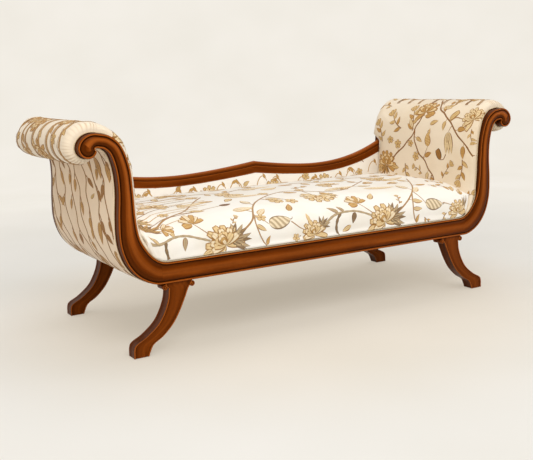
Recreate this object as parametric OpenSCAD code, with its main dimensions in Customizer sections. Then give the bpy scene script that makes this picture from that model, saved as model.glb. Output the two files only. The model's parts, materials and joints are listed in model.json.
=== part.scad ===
// A low upholstered recamier with two scrolled arms, a shaped back rail and four sabre legs.
// X runs along the seat, Y from front to back, Z up. The origin is on the floor, at the middle of the footprint.

/* [Body] */
// Length of the front rail between its two joints with the scrolls
rail_l = 1514; // [1300:1:1800]
// Depth of the body, from the crown of the front moulding to the back face
body_d = 770; // [680:1:860]
// Height of the underside of the rails above the floor
rail_z = 268; // [220:1:320]
// Height of the rails
rail_h = 79; // [70:1:90]
// Thickness of the rails and of the scroll frames, without the moulding
frame_t = 45; // [38:1:52]

/* [Scrolled arms] */
// How far a scroll reaches outward from its joint to the eye of its volute
scroll_reach = 244; // [220:1:280]
// How far the eye of the volute stands above the underside of the rails
scroll_rise = 513; // [460:1:580]
// Width of the upright part of a scroll
stile_w = 54; // [46:1:62]
// Radius of the volute at its outermost point
volute_r = 41; // [37:1:45]
// Radius of the volute where it ends in the throat
volute_end_r = 28; // [25:1:31]
// How far the crown of the moulding stands in front of its ground
moulding_h = 8; // [5:1:11]
// Width of the bead along each edge of the moulding
bead_w = 8; // [6:1:10]
// Height of the bead
bead_h = 4; // [2:0.5:5]

/* [Crest rail] */
// Height of the crest rail's top edge above the rails' underside at its lowest
crest_dip = 302; // [280:1:330]
// How far its cusp rises above the lowest place
cusp_rise = 36; // [20:1:60]
// How far its ends rise above the lowest place
crest_end_rise = 92; // [60:1:110]
// How far the cusp lies to the right of the middle
cusp_x = 80; // [-100:1:100]
// Height of the crest rail's face at its lowest
crest_h = 49; // [40:1:60]
// Thickness of the crest rail
crest_t = 36; // [28:1:42]
// How far the crest rail stands in from the back face
crest_set = 13; // [6:1:18]

/* [Legs] */
// How far the middle of a leg's top stands in from the end of the rails
leg_in = 67; // [55:1:90]
// How far a foot reaches outward from the middle of the leg's top
leg_splay = 189; // [150:1:230]
// Thickness of a leg from front to back
leg_t = 52; // [42:1:58]
// How far the front legs stand back behind the crown of the moulding
leg_inset = 13; // [9:1:16]
// Radius of the scrolled ears at the top of a leg
ear_r = 11; // [9:1:12]
// Radius of the round glides under the feet
glide_r = 14; // [10:1:16]
// Height of the glides
glide_h = 3; // [2:1:5]
// Width of the raised edge along a leg's face
leg_bead_w = 6; // [4:1:8]
// Height of that raised edge
leg_bead_h = 2; // [1:0.5:3]

/* [Upholstery] */
// Thickness of the padding over the top of an arm
pad_top = 37; // [28:1:44]
// Height of the seat's crown above the rails
seat_crown = 153; // [120:1:180]
// Height of the seat above the rails where it meets the arms
seat_end_h = 110; // [100:1:118]
// How far the seat's front corners are rounded back
seat_corner = 30; // [20:1:40]
// Thickness of the covering cloth
cover_t = 1.5; // [1:0.5:2]
// Gap between soft parts and what they lie against
soft_gap = 0.3; // [0.2:0.1:0.5]
// Depth of the wood that shows beside the padding on an upright
reveal_stile = 26; // [20:1:32]
// Depth of the wood that shows beside the padding on a volute
reveal_volute = 43; // [36:1:48]
// Wood left bare behind the covering on the inside of an arm
reveal_back = 3; // [2:1:10]
// Length of the rounded ends of an arm roll
roll_round = 52; // [40:1:70]
// Radius of the cord that trims the edges of the covers
trim_r = 2; // [1.5:0.5:3]
// How far the inside of the back swells forward of the crest rail
back_swell = 14; // [8:1:20]

/* [Frame inside] */
// Thickness of the end rails
end_rail_t = 30; // [24:1:36]
// Width of the seat braces
brace_w = 40; // [30:1:50]
// Number of seat springs
spring_count = 9; // [7:1:11]
// Thickness of the spring wire
wire_t = 3.5; // [3:0.5:4]
// Thickness of an arm's slats
slat_t = 10; // [8:1:12]
// Width of an arm's slats
slat_w = 25; // [20:1:27]
// Width of the posts that carry the crest rail
post_w = 45; // [35:1:60]
// Radius of the dowels in the frame joints
dowel_r = 5; // [4:0.5:6]
// Radius of the leg bolts
bolt_r = 4; // [3:0.5:5]

/* [Hidden] */

// Colours
wood = "saddlebrown";
frame_wood = "burlywood";
cloth = "cornsilk";
filling = "oldlace";
steel = "slategray";
hessian = "tan";
black_cloth = "dimgray";

// Shared values
round_fn = 48;
half_l = rail_l / 2;
front_crown_y = -body_d / 2;
front_y = front_crown_y + moulding_h;
front_in_y = front_y + frame_t;
back_y = body_d / 2;
back_in_y = back_y - frame_t;
inside_d = back_in_y - front_in_y;
dust_top = cover_t + 2 * soft_gap;
rail_top_z = rail_z + rail_h;
leg_x = half_l - leg_in;
bore_gap = 0.3;
half_share = 0.5;

// Small helpers for points and curves
function mix(a, b, t) = a + (b - a) * t;
function unit(v) = v / norm(v);
function left_of(v) = [-v[1], v[0]];
function flat(v) = [v[0], v[1]];
function ramp(t) = let (c = min(1, max(0, t))) c * c * (3 - 2 * c);
function spline_at(a, b, c, d, t) =
    (2 * b + (c - a) * t + (2 * a - 5 * b + 4 * c - d) * t * t + (3 * b - a - 3 * c + d) * t * t * t) / 2;
// A smooth curve through the knots, with the given point before the first knot
function spline(knots, steps, before) = [
    for (i = [0 : len(knots) - 2])
        let (a = i > 0 ? knots[i - 1] : before,
             d = i < len(knots) - 2 ? knots[i + 2] : 2 * knots[i + 1] - knots[i])
        for (j = [0 : steps - 1]) spline_at(a, knots[i], knots[i + 1], d, j / steps),
    knots[len(knots) - 1]
];

// The band of a scroll, in a plane with u outward from the middle of the body and z up.
// Each row of shares holds the place of the band's middle line along the reach and the rise,
// then the band's half width as a share of the rail's height and a share of the stile's width.
band_shares = [
    [0.000, 0.000, 0.50, 0.000],
    [0.205, 0.127, 0.58, 0.000],
    [0.365, 0.211, 0.57, 0.000],
    [0.471, 0.335, 0.30, 0.290],
    [0.500, 0.491, 0.10, 0.475],
    [0.496, 0.686, 0.00, 0.520],
    [0.520, 0.842, 0.00, 0.500],
    [0.607, 0.975, 0.00, 0.480],
    [0.734, 1.035, 0.00, 0.470],
    [0.861, 1.051, 0.00, 0.465]
];
band_steps = 3;
band_knots = [
    for (i = [0 : len(band_shares) - 1])
        let (s = band_shares[i])
        [half_l + s[0] * scroll_reach,
         i == 0 ? rail_z + rail_h / 2 : rail_z + s[1] * scroll_rise,
         s[2] * rail_h + s[3] * stile_w]
];
band_before = [2 * band_knots[0][0] - band_knots[1][0], band_knots[1][1], band_knots[1][2]];
band = spline(band_knots, band_steps, band_before);
band_n = len(band) - 1;
function band_way(j) = j == 0 ? [1, 0] : unit(flat(band[min(j + 1, band_n)] - band[j - 1]));
function band_mid(j) = flat(band[j]);
function band_up(j) = left_of(band_way(j));
function top_edge(j) = band_mid(j) + band_up(j) * band[j][2];
function low_edge(j) = band_mid(j) - band_up(j) * band[j][2];

// The volute: a spiral about its eye, which starts where the band's top edge ends
eye = [half_l + scroll_reach, rail_z + scroll_rise];
volute_from = top_edge(band_n) - eye;
volute_start_r = norm(volute_from);
volute_start_a = atan2(volute_from[1], volute_from[0]);
volute_end_a = -160;
volute_power = 2.6;
function volute_radius(a) =
    a < 0 ? mix(volute_r, volute_end_r, a / volute_end_a)
          : mix(volute_r, volute_start_r, pow(a / volute_start_a, volute_power));
function spoke(a) = [cos(a), sin(a)];
function volute_edge(a) = eye + volute_radius(a) * spoke(a);

// The throat is a small round notch between the volute's end and the band's lower edge
notch_share = 0.125;
notch_rise_share = 0.33;
notch_r = volute_end_r * notch_share;
throat_mid = mix(low_edge(band_n), volute_edge(volute_end_a), half_share);
throat = throat_mid + notch_r * [1, notch_rise_share];
notch_from_a = 90;
notch_to_a = -75;
crown_lead_share = 0.17;
fan_n = 5;
eye_turn_a = 40;
turn_n = 8;
crown_bend = [eye[0] - volute_r * crown_lead_share, band_mid(band_n)[1] - notch_r];
// The crown's way from the band's end to the eye
function crown_path(t) =
    mix(mix(band_mid(band_n), crown_bend, t), mix(crown_bend, eye, t), t);

// The whole outline of a scroll, from the joint's lower corner round the volute to its upper corner.
// Each row holds a point of the outline and the number of the crown point that lies inward of it.
scroll_outline = [
    for (j = [0 : band_n]) [low_edge(j), j],
    for (k = [1 : fan_n - 1]) [throat + notch_r * spoke(mix(notch_from_a, notch_to_a, k / fan_n)), band_n + k],
    for (k = [0 : turn_n]) [volute_edge(mix(volute_end_a, eye_turn_a, k / turn_n)), band_n + fan_n],
    for (k = [1 : fan_n - 1])
        [volute_edge(mix(eye_turn_a, volute_start_a, k / fan_n)), band_n + fan_n - k],
    for (j = [band_n : -1 : 0]) [top_edge(j), j]
];
scroll_crown = [
    for (j = [0 : band_n]) band_mid(j),
    for (k = [1 : fan_n]) crown_path(k / fan_n)
];
outline_n = len(scroll_outline);

// The rings of the moulding: a bead, a quirk and the rising side of the wide round
bead_ring_shares = [[0, 0], [0.18, 0.7], [0.5, 1], [0.82, 0.7], [1, 0]];
swell_ring_shares = [[0.3, 0.71], [0.65, 0.94]];
bead_rings = len(bead_ring_shares);
swell_rings = len(swell_ring_shares);
ring_n = bead_rings + swell_rings;
function ring_point(row, r) =
    let (p = row[0], m = scroll_crown[row[1]], way = unit(m - p), quirk = p + way * bead_w,
         q = r < bead_rings ? p + way * (bead_w * bead_ring_shares[r][0])
                            : mix(quirk, m, swell_ring_shares[r - bead_rings][0]),
         h = r < bead_rings ? bead_h * bead_ring_shares[r][1]
                            : moulding_h * swell_ring_shares[r - bead_rings][1])
    [q[0], front_y - h, q[1]];

// A carved scroll as one closed skin of rings, crown and flat back
module scroll_body() {
    crown_n = len(scroll_crown);
    back_ring = ring_n * outline_n;
    crown_at = back_ring + outline_n;
    back_crown_at = crown_at + crown_n;
    points = concat(
        [for (r = [0 : ring_n - 1]) for (row = scroll_outline) ring_point(row, r)],
        [for (row = scroll_outline) [row[0][0], front_in_y, row[0][1]]],
        [for (m = scroll_crown) [m[0], front_y - moulding_h, m[1]]],
        [for (m = scroll_crown) [m[0], front_in_y, m[1]]]
    );
    last = (ring_n - 1) * outline_n;
    strips = [
        for (r = [0 : ring_n - 2]) for (i = [0 : outline_n - 2])
            let (a = r * outline_n + i, b = a + outline_n)
            each [[a, b, a + 1], [a + 1, b, b + 1]]
    ];
    sides = [
        for (i = [0 : outline_n - 2])
            let (b = back_ring + i)
            each [[i, i + 1, b], [i + 1, b + 1, b]]
    ];
    tops = [
        for (i = [0 : outline_n - 2])
            let (a = last + i, m = crown_at + scroll_outline[i][1], n = crown_at + scroll_outline[i + 1][1])
            each m == n ? [[a, m, a + 1]] : [[a, m, a + 1], [a + 1, m, n]]
    ];
    backs = [
        for (i = [0 : outline_n - 2])
            let (a = back_ring + i, m = back_crown_at + scroll_outline[i][1],
                 n = back_crown_at + scroll_outline[i + 1][1])
            each m == n ? [[a, a + 1, m]] : [[a, a + 1, m], [a + 1, n, m]]
    ];
    joint = [concat(
        [for (r = [ring_n - 1 : -1 : 0]) r * outline_n],
        [back_ring, back_crown_at, back_ring + outline_n - 1],
        [for (r = [0 : ring_n - 1]) r * outline_n + outline_n - 1],
        [crown_at]
    )];
    polyhedron(points = points, faces = concat(strips, sides, tops, backs, joint), convexity = 8);
}

// Extrudes a flat shape drawn in u and z from one y to another
module along_y(y_from, y_to) {
    translate([0, y_to, 0]) rotate([90, 0, 0]) linear_extrude(y_to - y_from) children();
}

// Draws its child at the right end, or mirrored at the left end
module at_end(side) {
    mirror([side < 0 ? 1 : 0, 0, 0]) children();
}

// Two dowels in a joint between a rail and a scroll, grown by a gap for their bores
dowel_l_share = 1.2;
dowel_l = frame_t * dowel_l_share;
dowel_z_shares = [0.3, 0.7];
module joint_dowels(frame_y, gap) {
    for (s = dowel_z_shares)
        translate([half_l - dowel_l / 2 - gap, frame_y, rail_z + rail_h * s])
            rotate([0, 90, 0]) cylinder(r = dowel_r + gap, h = dowel_l + 2 * gap, $fn = round_fn);
}
front_dowel_y = front_y + frame_t / 2;
back_dowel_y = back_y - frame_t / 2;

module front_scroll(side) {
    color(wood) at_end(side) difference() {
        scroll_body();
        joint_dowels(front_dowel_y, bore_gap);
    }
}

module back_scroll(side) {
    color(wood) at_end(side) difference() {
        along_y(back_in_y, back_y) polygon([for (row = scroll_outline) row[0]]);
        joint_dowels(back_dowel_y, bore_gap);
    }
}

module rail_dowels() {
    color(frame_wood) for (side = [-1, 1], y = [front_dowel_y, back_dowel_y])
        at_end(side) joint_dowels(y, 0);
}

// Outline of the front rail's section, with the same moulding as the scrolls
rail_section = concat(
    [[front_in_y, rail_z], [front_in_y, rail_top_z]],
    [for (s = bead_ring_shares) [front_y - bead_h * s[1], rail_top_z - bead_w * s[0]]],
    [for (s = swell_ring_shares)
        [front_y - moulding_h * s[1], mix(rail_top_z - bead_w, rail_z + rail_h / 2, s[0])]],
    [[front_y - moulding_h, rail_z + rail_h / 2]],
    [for (k = [swell_rings - 1 : -1 : 0]) let (s = swell_ring_shares[k])
        [front_y - moulding_h * s[1], mix(rail_z + bead_w, rail_z + rail_h / 2, s[0])]],
    [for (k = [bead_rings - 1 : -1 : 0]) let (s = bead_ring_shares[k])
        [front_y - bead_h * s[1], rail_z + bead_w * s[0]]]
);

module front_rail() {
    color(wood) difference() {
        translate([-half_l, 0, 0]) rotate([90, 0, 90]) linear_extrude(rail_l) polygon(rail_section);
        for (side = [-1, 1]) at_end(side) {
            joint_dowels(front_dowel_y, bore_gap);
            leg_bolt(front_leg_y, bore_gap);
        }
    }
}

module back_rail() {
    color(wood) difference() {
        translate([-half_l, back_in_y, rail_z]) cube([rail_l, frame_t, rail_h]);
        for (side = [-1, 1]) at_end(side) {
            joint_dowels(back_dowel_y, bore_gap);
            leg_bolt(back_leg_y, bore_gap);
        }
    }
}

// Hidden beech rails, braces and blocks of the seat frame
end_rail_x = half_l + bore_gap;
end_rail_low_share = 0.2;
end_rail_h_share = 0.7;
end_rail_low = rail_h * end_rail_low_share;
end_rail_h = rail_h * end_rail_h_share;
module end_rail(side) {
    color(frame_wood) at_end(side) translate([end_rail_x, front_in_y, rail_z + end_rail_low])
        cube([end_rail_t, inside_d, end_rail_h]);
}

brace_share = 0.34;
brace_h_share = 0.55;
module seat_braces() {
    color(frame_wood) for (side = [-1, 1])
        translate([side * half_l * brace_share - brace_w / 2, front_in_y, rail_z + dust_top])
            cube([brace_w, inside_d, rail_h * brace_h_share]);
}

block_leg_share = 0.85;
block_h_share = 0.55;
block_leg = rail_h * block_leg_share;
block_h = rail_h * block_h_share;
module corner_blocks() {
    color(frame_wood) for (side = [-1, 1]) at_end(side)
        translate([0, 0, rail_z + end_rail_low]) linear_extrude(block_h) {
            polygon([[end_rail_x, front_in_y], [end_rail_x - block_leg, front_in_y],
                     [end_rail_x, front_in_y + block_leg]]);
            polygon([[end_rail_x, back_in_y], [end_rail_x, back_in_y - block_leg],
                     [end_rail_x - block_leg, back_in_y]]);
        }
}

// Crest rail: a serpentine rail that rises to a cusp and to both ends
crest_end_x = top_edge(5 * band_steps)[0] - soft_gap;
crest_low_share = 0.45;
crest_y = back_y - crest_t - crest_set;
cusp_power = 1.6;
rise_power = 2.2;
cusp_height_share = 0.14;
end_height_share = 0.18;
function crest_along(x) =
    x > cusp_x ? (x - cusp_x) / (crest_end_x - cusp_x) : (cusp_x - x) / (crest_end_x + cusp_x);
function cusp_part(v) = v < crest_low_share ? pow(1 - v / crest_low_share, cusp_power) : 0;
function end_part(v) =
    v > crest_low_share ? pow((v - crest_low_share) / (1 - crest_low_share), rise_power) : 0;
function crest_top(x) =
    let (v = crest_along(x)) rail_z + crest_dip + cusp_rise * cusp_part(v) + crest_end_rise * end_part(v);
function crest_height(x) =
    let (v = crest_along(x)) crest_h * (1 + cusp_height_share * cusp_part(v) + end_height_share * end_part(v));
function crest_low(x) = crest_top(x) - crest_height(x);
// Section of the crest rail as shares of its thickness and of its height
crest_section_shares = [
    [0.06, 0.00], [0.00, 0.06], [0.00, 0.60], [0.05, 0.64], [0.01, 0.72], [0.10, 0.88],
    [0.28, 0.98], [0.50, 1.00], [0.74, 0.97], [0.93, 0.87], [1.00, 0.72], [1.00, 0.00]
];
crest_steps = 15;
crest_x = concat(
    [for (k = [0 : crest_steps - 1]) mix(-crest_end_x, cusp_x, k / crest_steps)],
    [for (k = [0 : crest_steps]) mix(cusp_x, crest_end_x, k / crest_steps)]
);

module crest_rail() {
    color(wood) loft([
        for (x = crest_x) [
            for (s = crest_section_shares)
                [x, crest_y + s[0] * crest_t, crest_low(x) + s[1] * crest_height(x)]
        ]
    ]);
}

// Joins rings of points, all of one length, into a closed solid with flat ends.
// A shell's rings run along its outer face and come back along its inner face.
module loft(rings, shell = false) {
    n = len(rings[0]);
    last = (len(rings) - 1) * n;
    walls = [
        for (r = [0 : len(rings) - 2]) for (i = [0 : n - 1])
            let (a = r * n + i, b = r * n + (i + 1) % n)
            each [[a, b, a + n], [b, b + n, a + n]]
    ];
    ends = shell
        ? [for (i = [0 : n / 2 - 2]) let (j = n - 1 - i)
            each [[j, i + 1, i], [j, j - 1, i + 1],
                  [last + i, last + i + 1, last + j], [last + i + 1, last + j - 1, last + j]]]
        : [[for (i = [n - 1 : -1 : 0]) i], [for (i = [0 : n - 1]) last + i]];
    polyhedron(points = [for (ring = rings) each ring], faces = concat(walls, ends), convexity = 6);
}

post_shares = [-0.5, 0, 0.5];
post_t_share = 0.6;
post_t = crest_t * post_t_share;
post_y = crest_y + crest_t - post_t;
module back_posts() {
    color(frame_wood) for (s = post_shares) {
        x = s * half_l;
        along_y(post_y, post_y + post_t) polygon([
            [x - post_w / 2, rail_top_z], [x + post_w / 2, rail_top_z],
            [x + post_w / 2, crest_low(x + post_w / 2)], [x, crest_low(x)],
            [x - post_w / 2, crest_low(x - post_w / 2)]
        ]);
    }
}

// Boards that carry an arm's padding between its two scroll frames
slat_first = 3 * band_steps;
roll_slat_angles = [60, 0, -60];
right_angle = 90;
slat_sink = slat_w * slat_w / 8 / volute_end_r;
module slat(edge, angle) {
    translate([edge[0], front_in_y, edge[1]]) rotate([0, -angle, 0])
        translate([-slat_w / 2, 0, -slat_t - slat_sink]) cube([slat_w, inside_d, slat_t]);
}
module arm_slats(side) {
    color(frame_wood) at_end(side) {
        for (j = [slat_first : band_steps : band_n])
            let (way = band_way(j)) slat(top_edge(j), atan2(way[1], way[0]));
        for (a = roll_slat_angles) slat(volute_edge(a), a - right_angle);
    }
}

roll_rail_r = volute_end_r * half_share;
module roll_rail(side) {
    color(frame_wood) at_end(side) translate([eye[0], back_in_y, eye[1]])
        rotate([90, 0, 0]) cylinder(r = roll_rail_r, h = inside_d, $fn = round_fn);
}

// Sabre legs. The shares are of the splay, from the middle of the leg's top, and of the leg's height.
leg_outer_shares = [
    [0.20, 0.925], [0.2275, 0.765], [0.317, 0.597], [0.466, 0.433], [0.72, 0.287],
    [0.93, 0.207], [0.99, 0.142], [1.00, 0.00]
];
leg_inner_shares = [
    [-0.222, 0.88], [-0.138, 0.746], [-0.021, 0.578], [0.138, 0.407], [0.355, 0.261],
    [0.566, 0.168], [0.645, 0.075], [0.682, 0.00]
];
leg_steps = 4;
function leg_point(s) = [leg_x + s[0] * leg_splay, max(glide_h, s[1] * rail_z)];
function leg_edge(shares) =
    let (k = [for (s = shares) leg_point(s)]) spline(k, leg_steps, 2 * k[0] - k[1]);
leg_outer = leg_edge(leg_outer_shares);
leg_inner = leg_edge(leg_inner_shares);
outer_ear_share = 1.25;
inner_ear_share = 1.6;
ear_drop_share = 1.45;
button_share = 0.6;
ear_z = rail_z - ear_r * ear_drop_share;
outer_ear = [leg_outer[0][0] + ear_r * outer_ear_share, ear_z];
inner_ear = [leg_inner[0][0] - ear_r * inner_ear_share, ear_z];
foot_x = (leg_outer[len(leg_outer) - 1][0] + leg_inner[len(leg_inner) - 1][0]) / 2;
front_leg_y = front_crown_y + leg_inset + leg_t / 2;
back_leg_inset = 3;
back_leg_y = back_y - back_leg_inset - leg_t / 2;

// Moves each point of an edge sideways by a distance
function shifted(edge, d) = [
    for (i = [0 : len(edge) - 1])
        let (a = edge[max(i - 1, 0)], b = edge[min(i + 1, len(edge) - 1)])
        edge[i] + left_of(unit(b - a)) * d
];
// A strip between an edge and the same edge moved sideways
module edge_strip(edge, d) {
    inward = shifted(edge, d);
    polygon(concat(edge, [for (i = [len(inward) - 1 : -1 : 0]) inward[i]]));
}

module leg_profile() {
    polygon(concat(
        [[outer_ear[0], rail_z]], leg_outer,
        [for (i = [len(leg_inner) - 1 : -1 : 0]) leg_inner[i]], [[inner_ear[0], rail_z]]
    ));
    translate(outer_ear) circle(r = ear_r, $fn = round_fn);
    translate(inner_ear) circle(r = ear_r, $fn = round_fn);
    translate(inner_ear) square([outer_ear[0] - inner_ear[0], rail_z - ear_z]);
}

bolt_l_share = 1.2;
bolt_l = rail_h * bolt_l_share;
module leg_bolt(leg_y, gap) {
    translate([leg_x, leg_y, rail_z - bolt_l / 2 - gap])
        cylinder(r = bolt_r + gap, h = bolt_l + 2 * gap, $fn = round_fn);
}

// A leg with raised edges on both faces and a round button in each ear
module leg(side, leg_y) {
    color(wood) at_end(side) difference() {
        union() {
            along_y(leg_y - leg_t / 2 + leg_bead_h, leg_y + leg_t / 2 - leg_bead_h) leg_profile();
            along_y(leg_y - leg_t / 2, leg_y + leg_t / 2) {
                edge_strip(leg_outer, -leg_bead_w);
                edge_strip(leg_inner, leg_bead_w);
                translate(outer_ear) circle(r = ear_r * button_share, $fn = round_fn);
                translate(inner_ear) circle(r = ear_r * button_share, $fn = round_fn);
            }
        }
        leg_bolt(leg_y, bore_gap);
    }
}

module glides() {
    color(steel) for (side = [-1, 1], y = [front_leg_y, back_leg_y])
        translate([side * foot_x, y, 0]) cylinder(r = glide_r, h = glide_h, $fn = round_fn);
}

module leg_bolts() {
    color(steel) for (side = [-1, 1], y = [front_leg_y, back_leg_y]) at_end(side) leg_bolt(y, 0);
}

// Zigzag springs from the front rail to the back rail, with a clip at each end
spring_z = rail_top_z - wire_t - soft_gap;
spring_pitch = rail_l / (spring_count + half_share);
clip_l = 10;
spring_run = inside_d - 2 * clip_l - 2 * bore_gap;
spring_bends = 15;
spring_step = spring_run / spring_bends;
spring_w_share = 1.1;
spring_half_w = spring_step * spring_w_share / 2;
spring_bar = 2 * (spring_half_w + wire_t);
function spring_x(i) = (i - (spring_count - 1) / 2) * spring_pitch;

module zigzag() {
    for (k = [0 : spring_bends - 1]) {
        y = front_in_y + clip_l + bore_gap + k * spring_step;
        translate([-spring_bar / 2, y]) square([spring_bar, wire_t]);
        translate([k % 2 == 0 ? spring_half_w : -spring_bar / 2, y])
            square([wire_t, spring_step + (k < spring_bends - 1 ? wire_t : 0)]);
    }
}

module seat_springs() {
    color(steel) for (i = [0 : spring_count - 1])
        translate([spring_x(i), 0, spring_z]) linear_extrude(wire_t) zigzag();
}

clip_w = 14;
clip_h = 6;
module spring_clips() {
    color(steel) for (i = [0 : spring_count - 1], y = [front_in_y, back_in_y - clip_l])
        translate([spring_x(i) - clip_w / 2, y, spring_z - clip_h]) cube([clip_w, clip_l, clip_h + wire_t]);
}

// Two twines that tie the springs to each other, laid just under the wires
tie_shares = [0.33, 0.67];
tie_r = 1.5;
module spring_ties() {
    color(hessian) for (s = tie_shares)
        translate([spring_x(0) - spring_half_w, front_in_y + inside_d * s, spring_z - tie_r - soft_gap])
            rotate([0, 90, 0])
                cylinder(r = tie_r, h = 2 * (spring_half_w - spring_x(0)), $fn = round_fn);
}

// The seat: its ends follow the inner corners of the scrolls and the foot of the arm padding
lining_t = 1;
seat_back_y = crest_y - back_swell - soft_gap;
lining_in_share = 0.3;
lining_in = frame_t * lining_in_share;
module seat_lining() {
    color(hessian) translate([-half_l, front_in_y - lining_in, rail_top_z + soft_gap])
        cube([rail_l, seat_back_y - front_in_y, lining_t]);
}

// Padding thickness along the arm, as rows of [way along band and volute, share of pad_top]
pad_shares = [
    [0.22, 0.00], [0.33, 0.30], [0.45, 0.54], [0.60, 0.54], [0.69, 0.58], [0.80, 0.72], [0.90, 0.88],
    [1.00, 0.97], [1.12, 1.00], [1.44, 0.92], [1.60, 0.76], [1.75, 0.57], [1.89, 0.33], [2.00, 0.10]
];
function pad_at(w) = pad_top * lookup(w, pad_shares);
function seat_side(j) = top_edge(j) + band_up(j) * (pad_at(j / band_n) + cover_t + 3 * soft_gap);
seat_side_share = 0.34;
seat_side_n = ceil(band_n * seat_side_share);
seat_reach = seat_side(seat_side_n)[0];
seat_x_shares = [0, 0.22, 0.44, 0.64, 0.82, 0.94];
// Rows of [half length at this station, height of the underside there]
seat_half = concat(
    [for (s = seat_x_shares) [s * half_l, rail_top_z + 2 * soft_gap]],
    [for (j = [0 : seat_side_n]) seat_side(j) + [0, soft_gap]]
);
seat_stations = concat(
    [for (i = [len(seat_half) - 1 : -1 : 1]) [-seat_half[i][0], seat_half[i][1]]],
    seat_half
);
seat_end_low = seat_half[len(seat_half) - 1][1] + 3 * cover_t;
seat_crown_power = 6;
function seat_height(x) =
    mix(max(seat_end_low, rail_top_z + seat_end_h), rail_top_z + seat_crown,
        pow(max(0, 1 - pow(abs(x) / seat_reach, seat_crown_power)), 1 / seat_crown_power));
// Section of the seat, as shares of its depth and of its height at that station
seat_section_shares = [
    [0.004, 0.00], [0.001, 0.18], [0.000, 0.36], [0.010, 0.55], [0.040, 0.73], [0.105, 0.86],
    [0.22, 0.94], [0.42, 0.99], [0.60, 1.00], [0.78, 0.985], [0.92, 0.95], [0.985, 0.88],
    [1.00, 0.50], [1.00, 0.00]
];
seat_front_y = front_y + moulding_h / 2;
seat_corner_power = 2.4;
function seat_front(x) =
    seat_front_y + seat_corner * pow(max(0, abs(x) - half_l) / (seat_reach - half_l), seat_corner_power);
function seat_ring(st, inset) = [
    for (s = seat_section_shares)
        let (front = seat_front(st[0]) + inset, high = seat_height(st[0]) - inset)
        [st[0], mix(front, seat_back_y - inset, s[0]), mix(st[1], high, s[1])]
];
function reversed(list) = [for (i = [len(list) - 1 : -1 : 0]) list[i]];

module seat_cover() {
    color(cloth) loft([
        for (st = seat_stations) concat(seat_ring(st, 0), reversed(seat_ring(st, cover_t)))
    ], true);
}

seat_pad_stations = [
    for (i = [1 : len(seat_stations) - 2])
        [seat_stations[i][0], max(seat_stations[i][1], rail_top_z + 2 * soft_gap + lining_t)]
];
module seat_padding() {
    color(filling) loft([for (st = seat_pad_stations) seat_ring(st, cover_t + 2 * soft_gap)]);
}

// Stations of an arm's padding: [edge point, outward way, padding thickness, share of the way up]
arm_first_share = 0.24;
arm_first = round(band_n * arm_first_share);
arm_turn_n = 12;
arm_stations = concat(
    [for (j = [arm_first : band_n]) [top_edge(j), band_up(j), pad_at(j / band_n), j / band_n]],
    [for (k = [1 : arm_turn_n])
        let (a = mix(volute_start_a, volute_end_a, k / arm_turn_n))
        [volute_edge(a), spoke(a), pad_at(1 + k / arm_turn_n), 1 + k / arm_turn_n]]
);
// Where an arm's covering starts and ends, from front to back, at a station
arm_back_y = back_y - reveal_volute;
arm_low_back_y = crest_y - back_swell - 2 * soft_gap;
crest_level_share = 0.66;
function arm_from_y(w) =
    front_crown_y + mix(reveal_stile, reveal_volute, ramp((w - crest_level_share) / (1 - crest_level_share)));
// The covering laps the back scroll's wood on the arm's inside, and draws back from it round the roll
roll_turn_share = 0.35;
function arm_to_y(w) = w < crest_level_share ? arm_low_back_y
    : mix(back_y - reveal_back, arm_back_y, ramp((w - 1) / roll_turn_share));
// The roll's rounded ends, as rows of [share of the rounding's length, share of the padding]
round_shares = [[0, 0], [0.07, 0.5], [0.3, 0.82], [0.6, 0.95], [1, 1]];
function arm_rows(w) = concat(
    [for (s = round_shares) [arm_from_y(w) + roll_round * s[0], s[1]]],
    [for (s = reversed(round_shares)) [arm_to_y(w) - roll_round * s[0], s[1]]]
);
function arm_point(st, row, inset) =
    let (p = st[0] + st[1] * (soft_gap + cover_t + st[2] * row[1] - inset))
    [p[0], row[0], p[1]];

module arm_cover(side) {
    color(cloth) at_end(side) loft([
        for (st = arm_stations) let (rows = arm_rows(st[3])) concat(
            [for (row = rows) arm_point(st, row, 0)],
            [for (row = reversed(rows)) arm_point(st, row, cover_t)]
        )
    ], true);
}

// Cords that cover the tacked edges along the wood
trim_from_share = 0.22;
trim_to_share = 0.40;
trim_off = trim_r + soft_gap;
function trim_y(w) =
    mix(seat_front_y, arm_from_y(w), ramp((w - trim_from_share) / (trim_to_share - trim_from_share)))
    - trim_off;
trim_stations = concat(
    [for (j = [0 : arm_first - 1]) [top_edge(j), band_up(j), 0, j / band_n]], arm_stations
);
module arm_trim(side) {
    color(cloth) at_end(side) loft([
        for (st = trim_stations) let (y = trim_y(st[3]), at = st[0] + st[1] * trim_off, d = st[1] * trim_r)
            [[at[0] - d[0], y, at[1] - d[1]], [at[0], y - trim_r, at[1]],
             [at[0] + d[0], y, at[1] + d[1]], [at[0], y + trim_r, at[1]]]
    ]);
}
module seat_trim() {
    color(cloth) translate([-half_l + soft_gap, seat_front_y - trim_off, rail_top_z + trim_off])
        rotate([0, 90, 0]) cylinder(r = trim_r, h = rail_l - 2 * soft_gap, $fn = round_fn);
}

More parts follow.
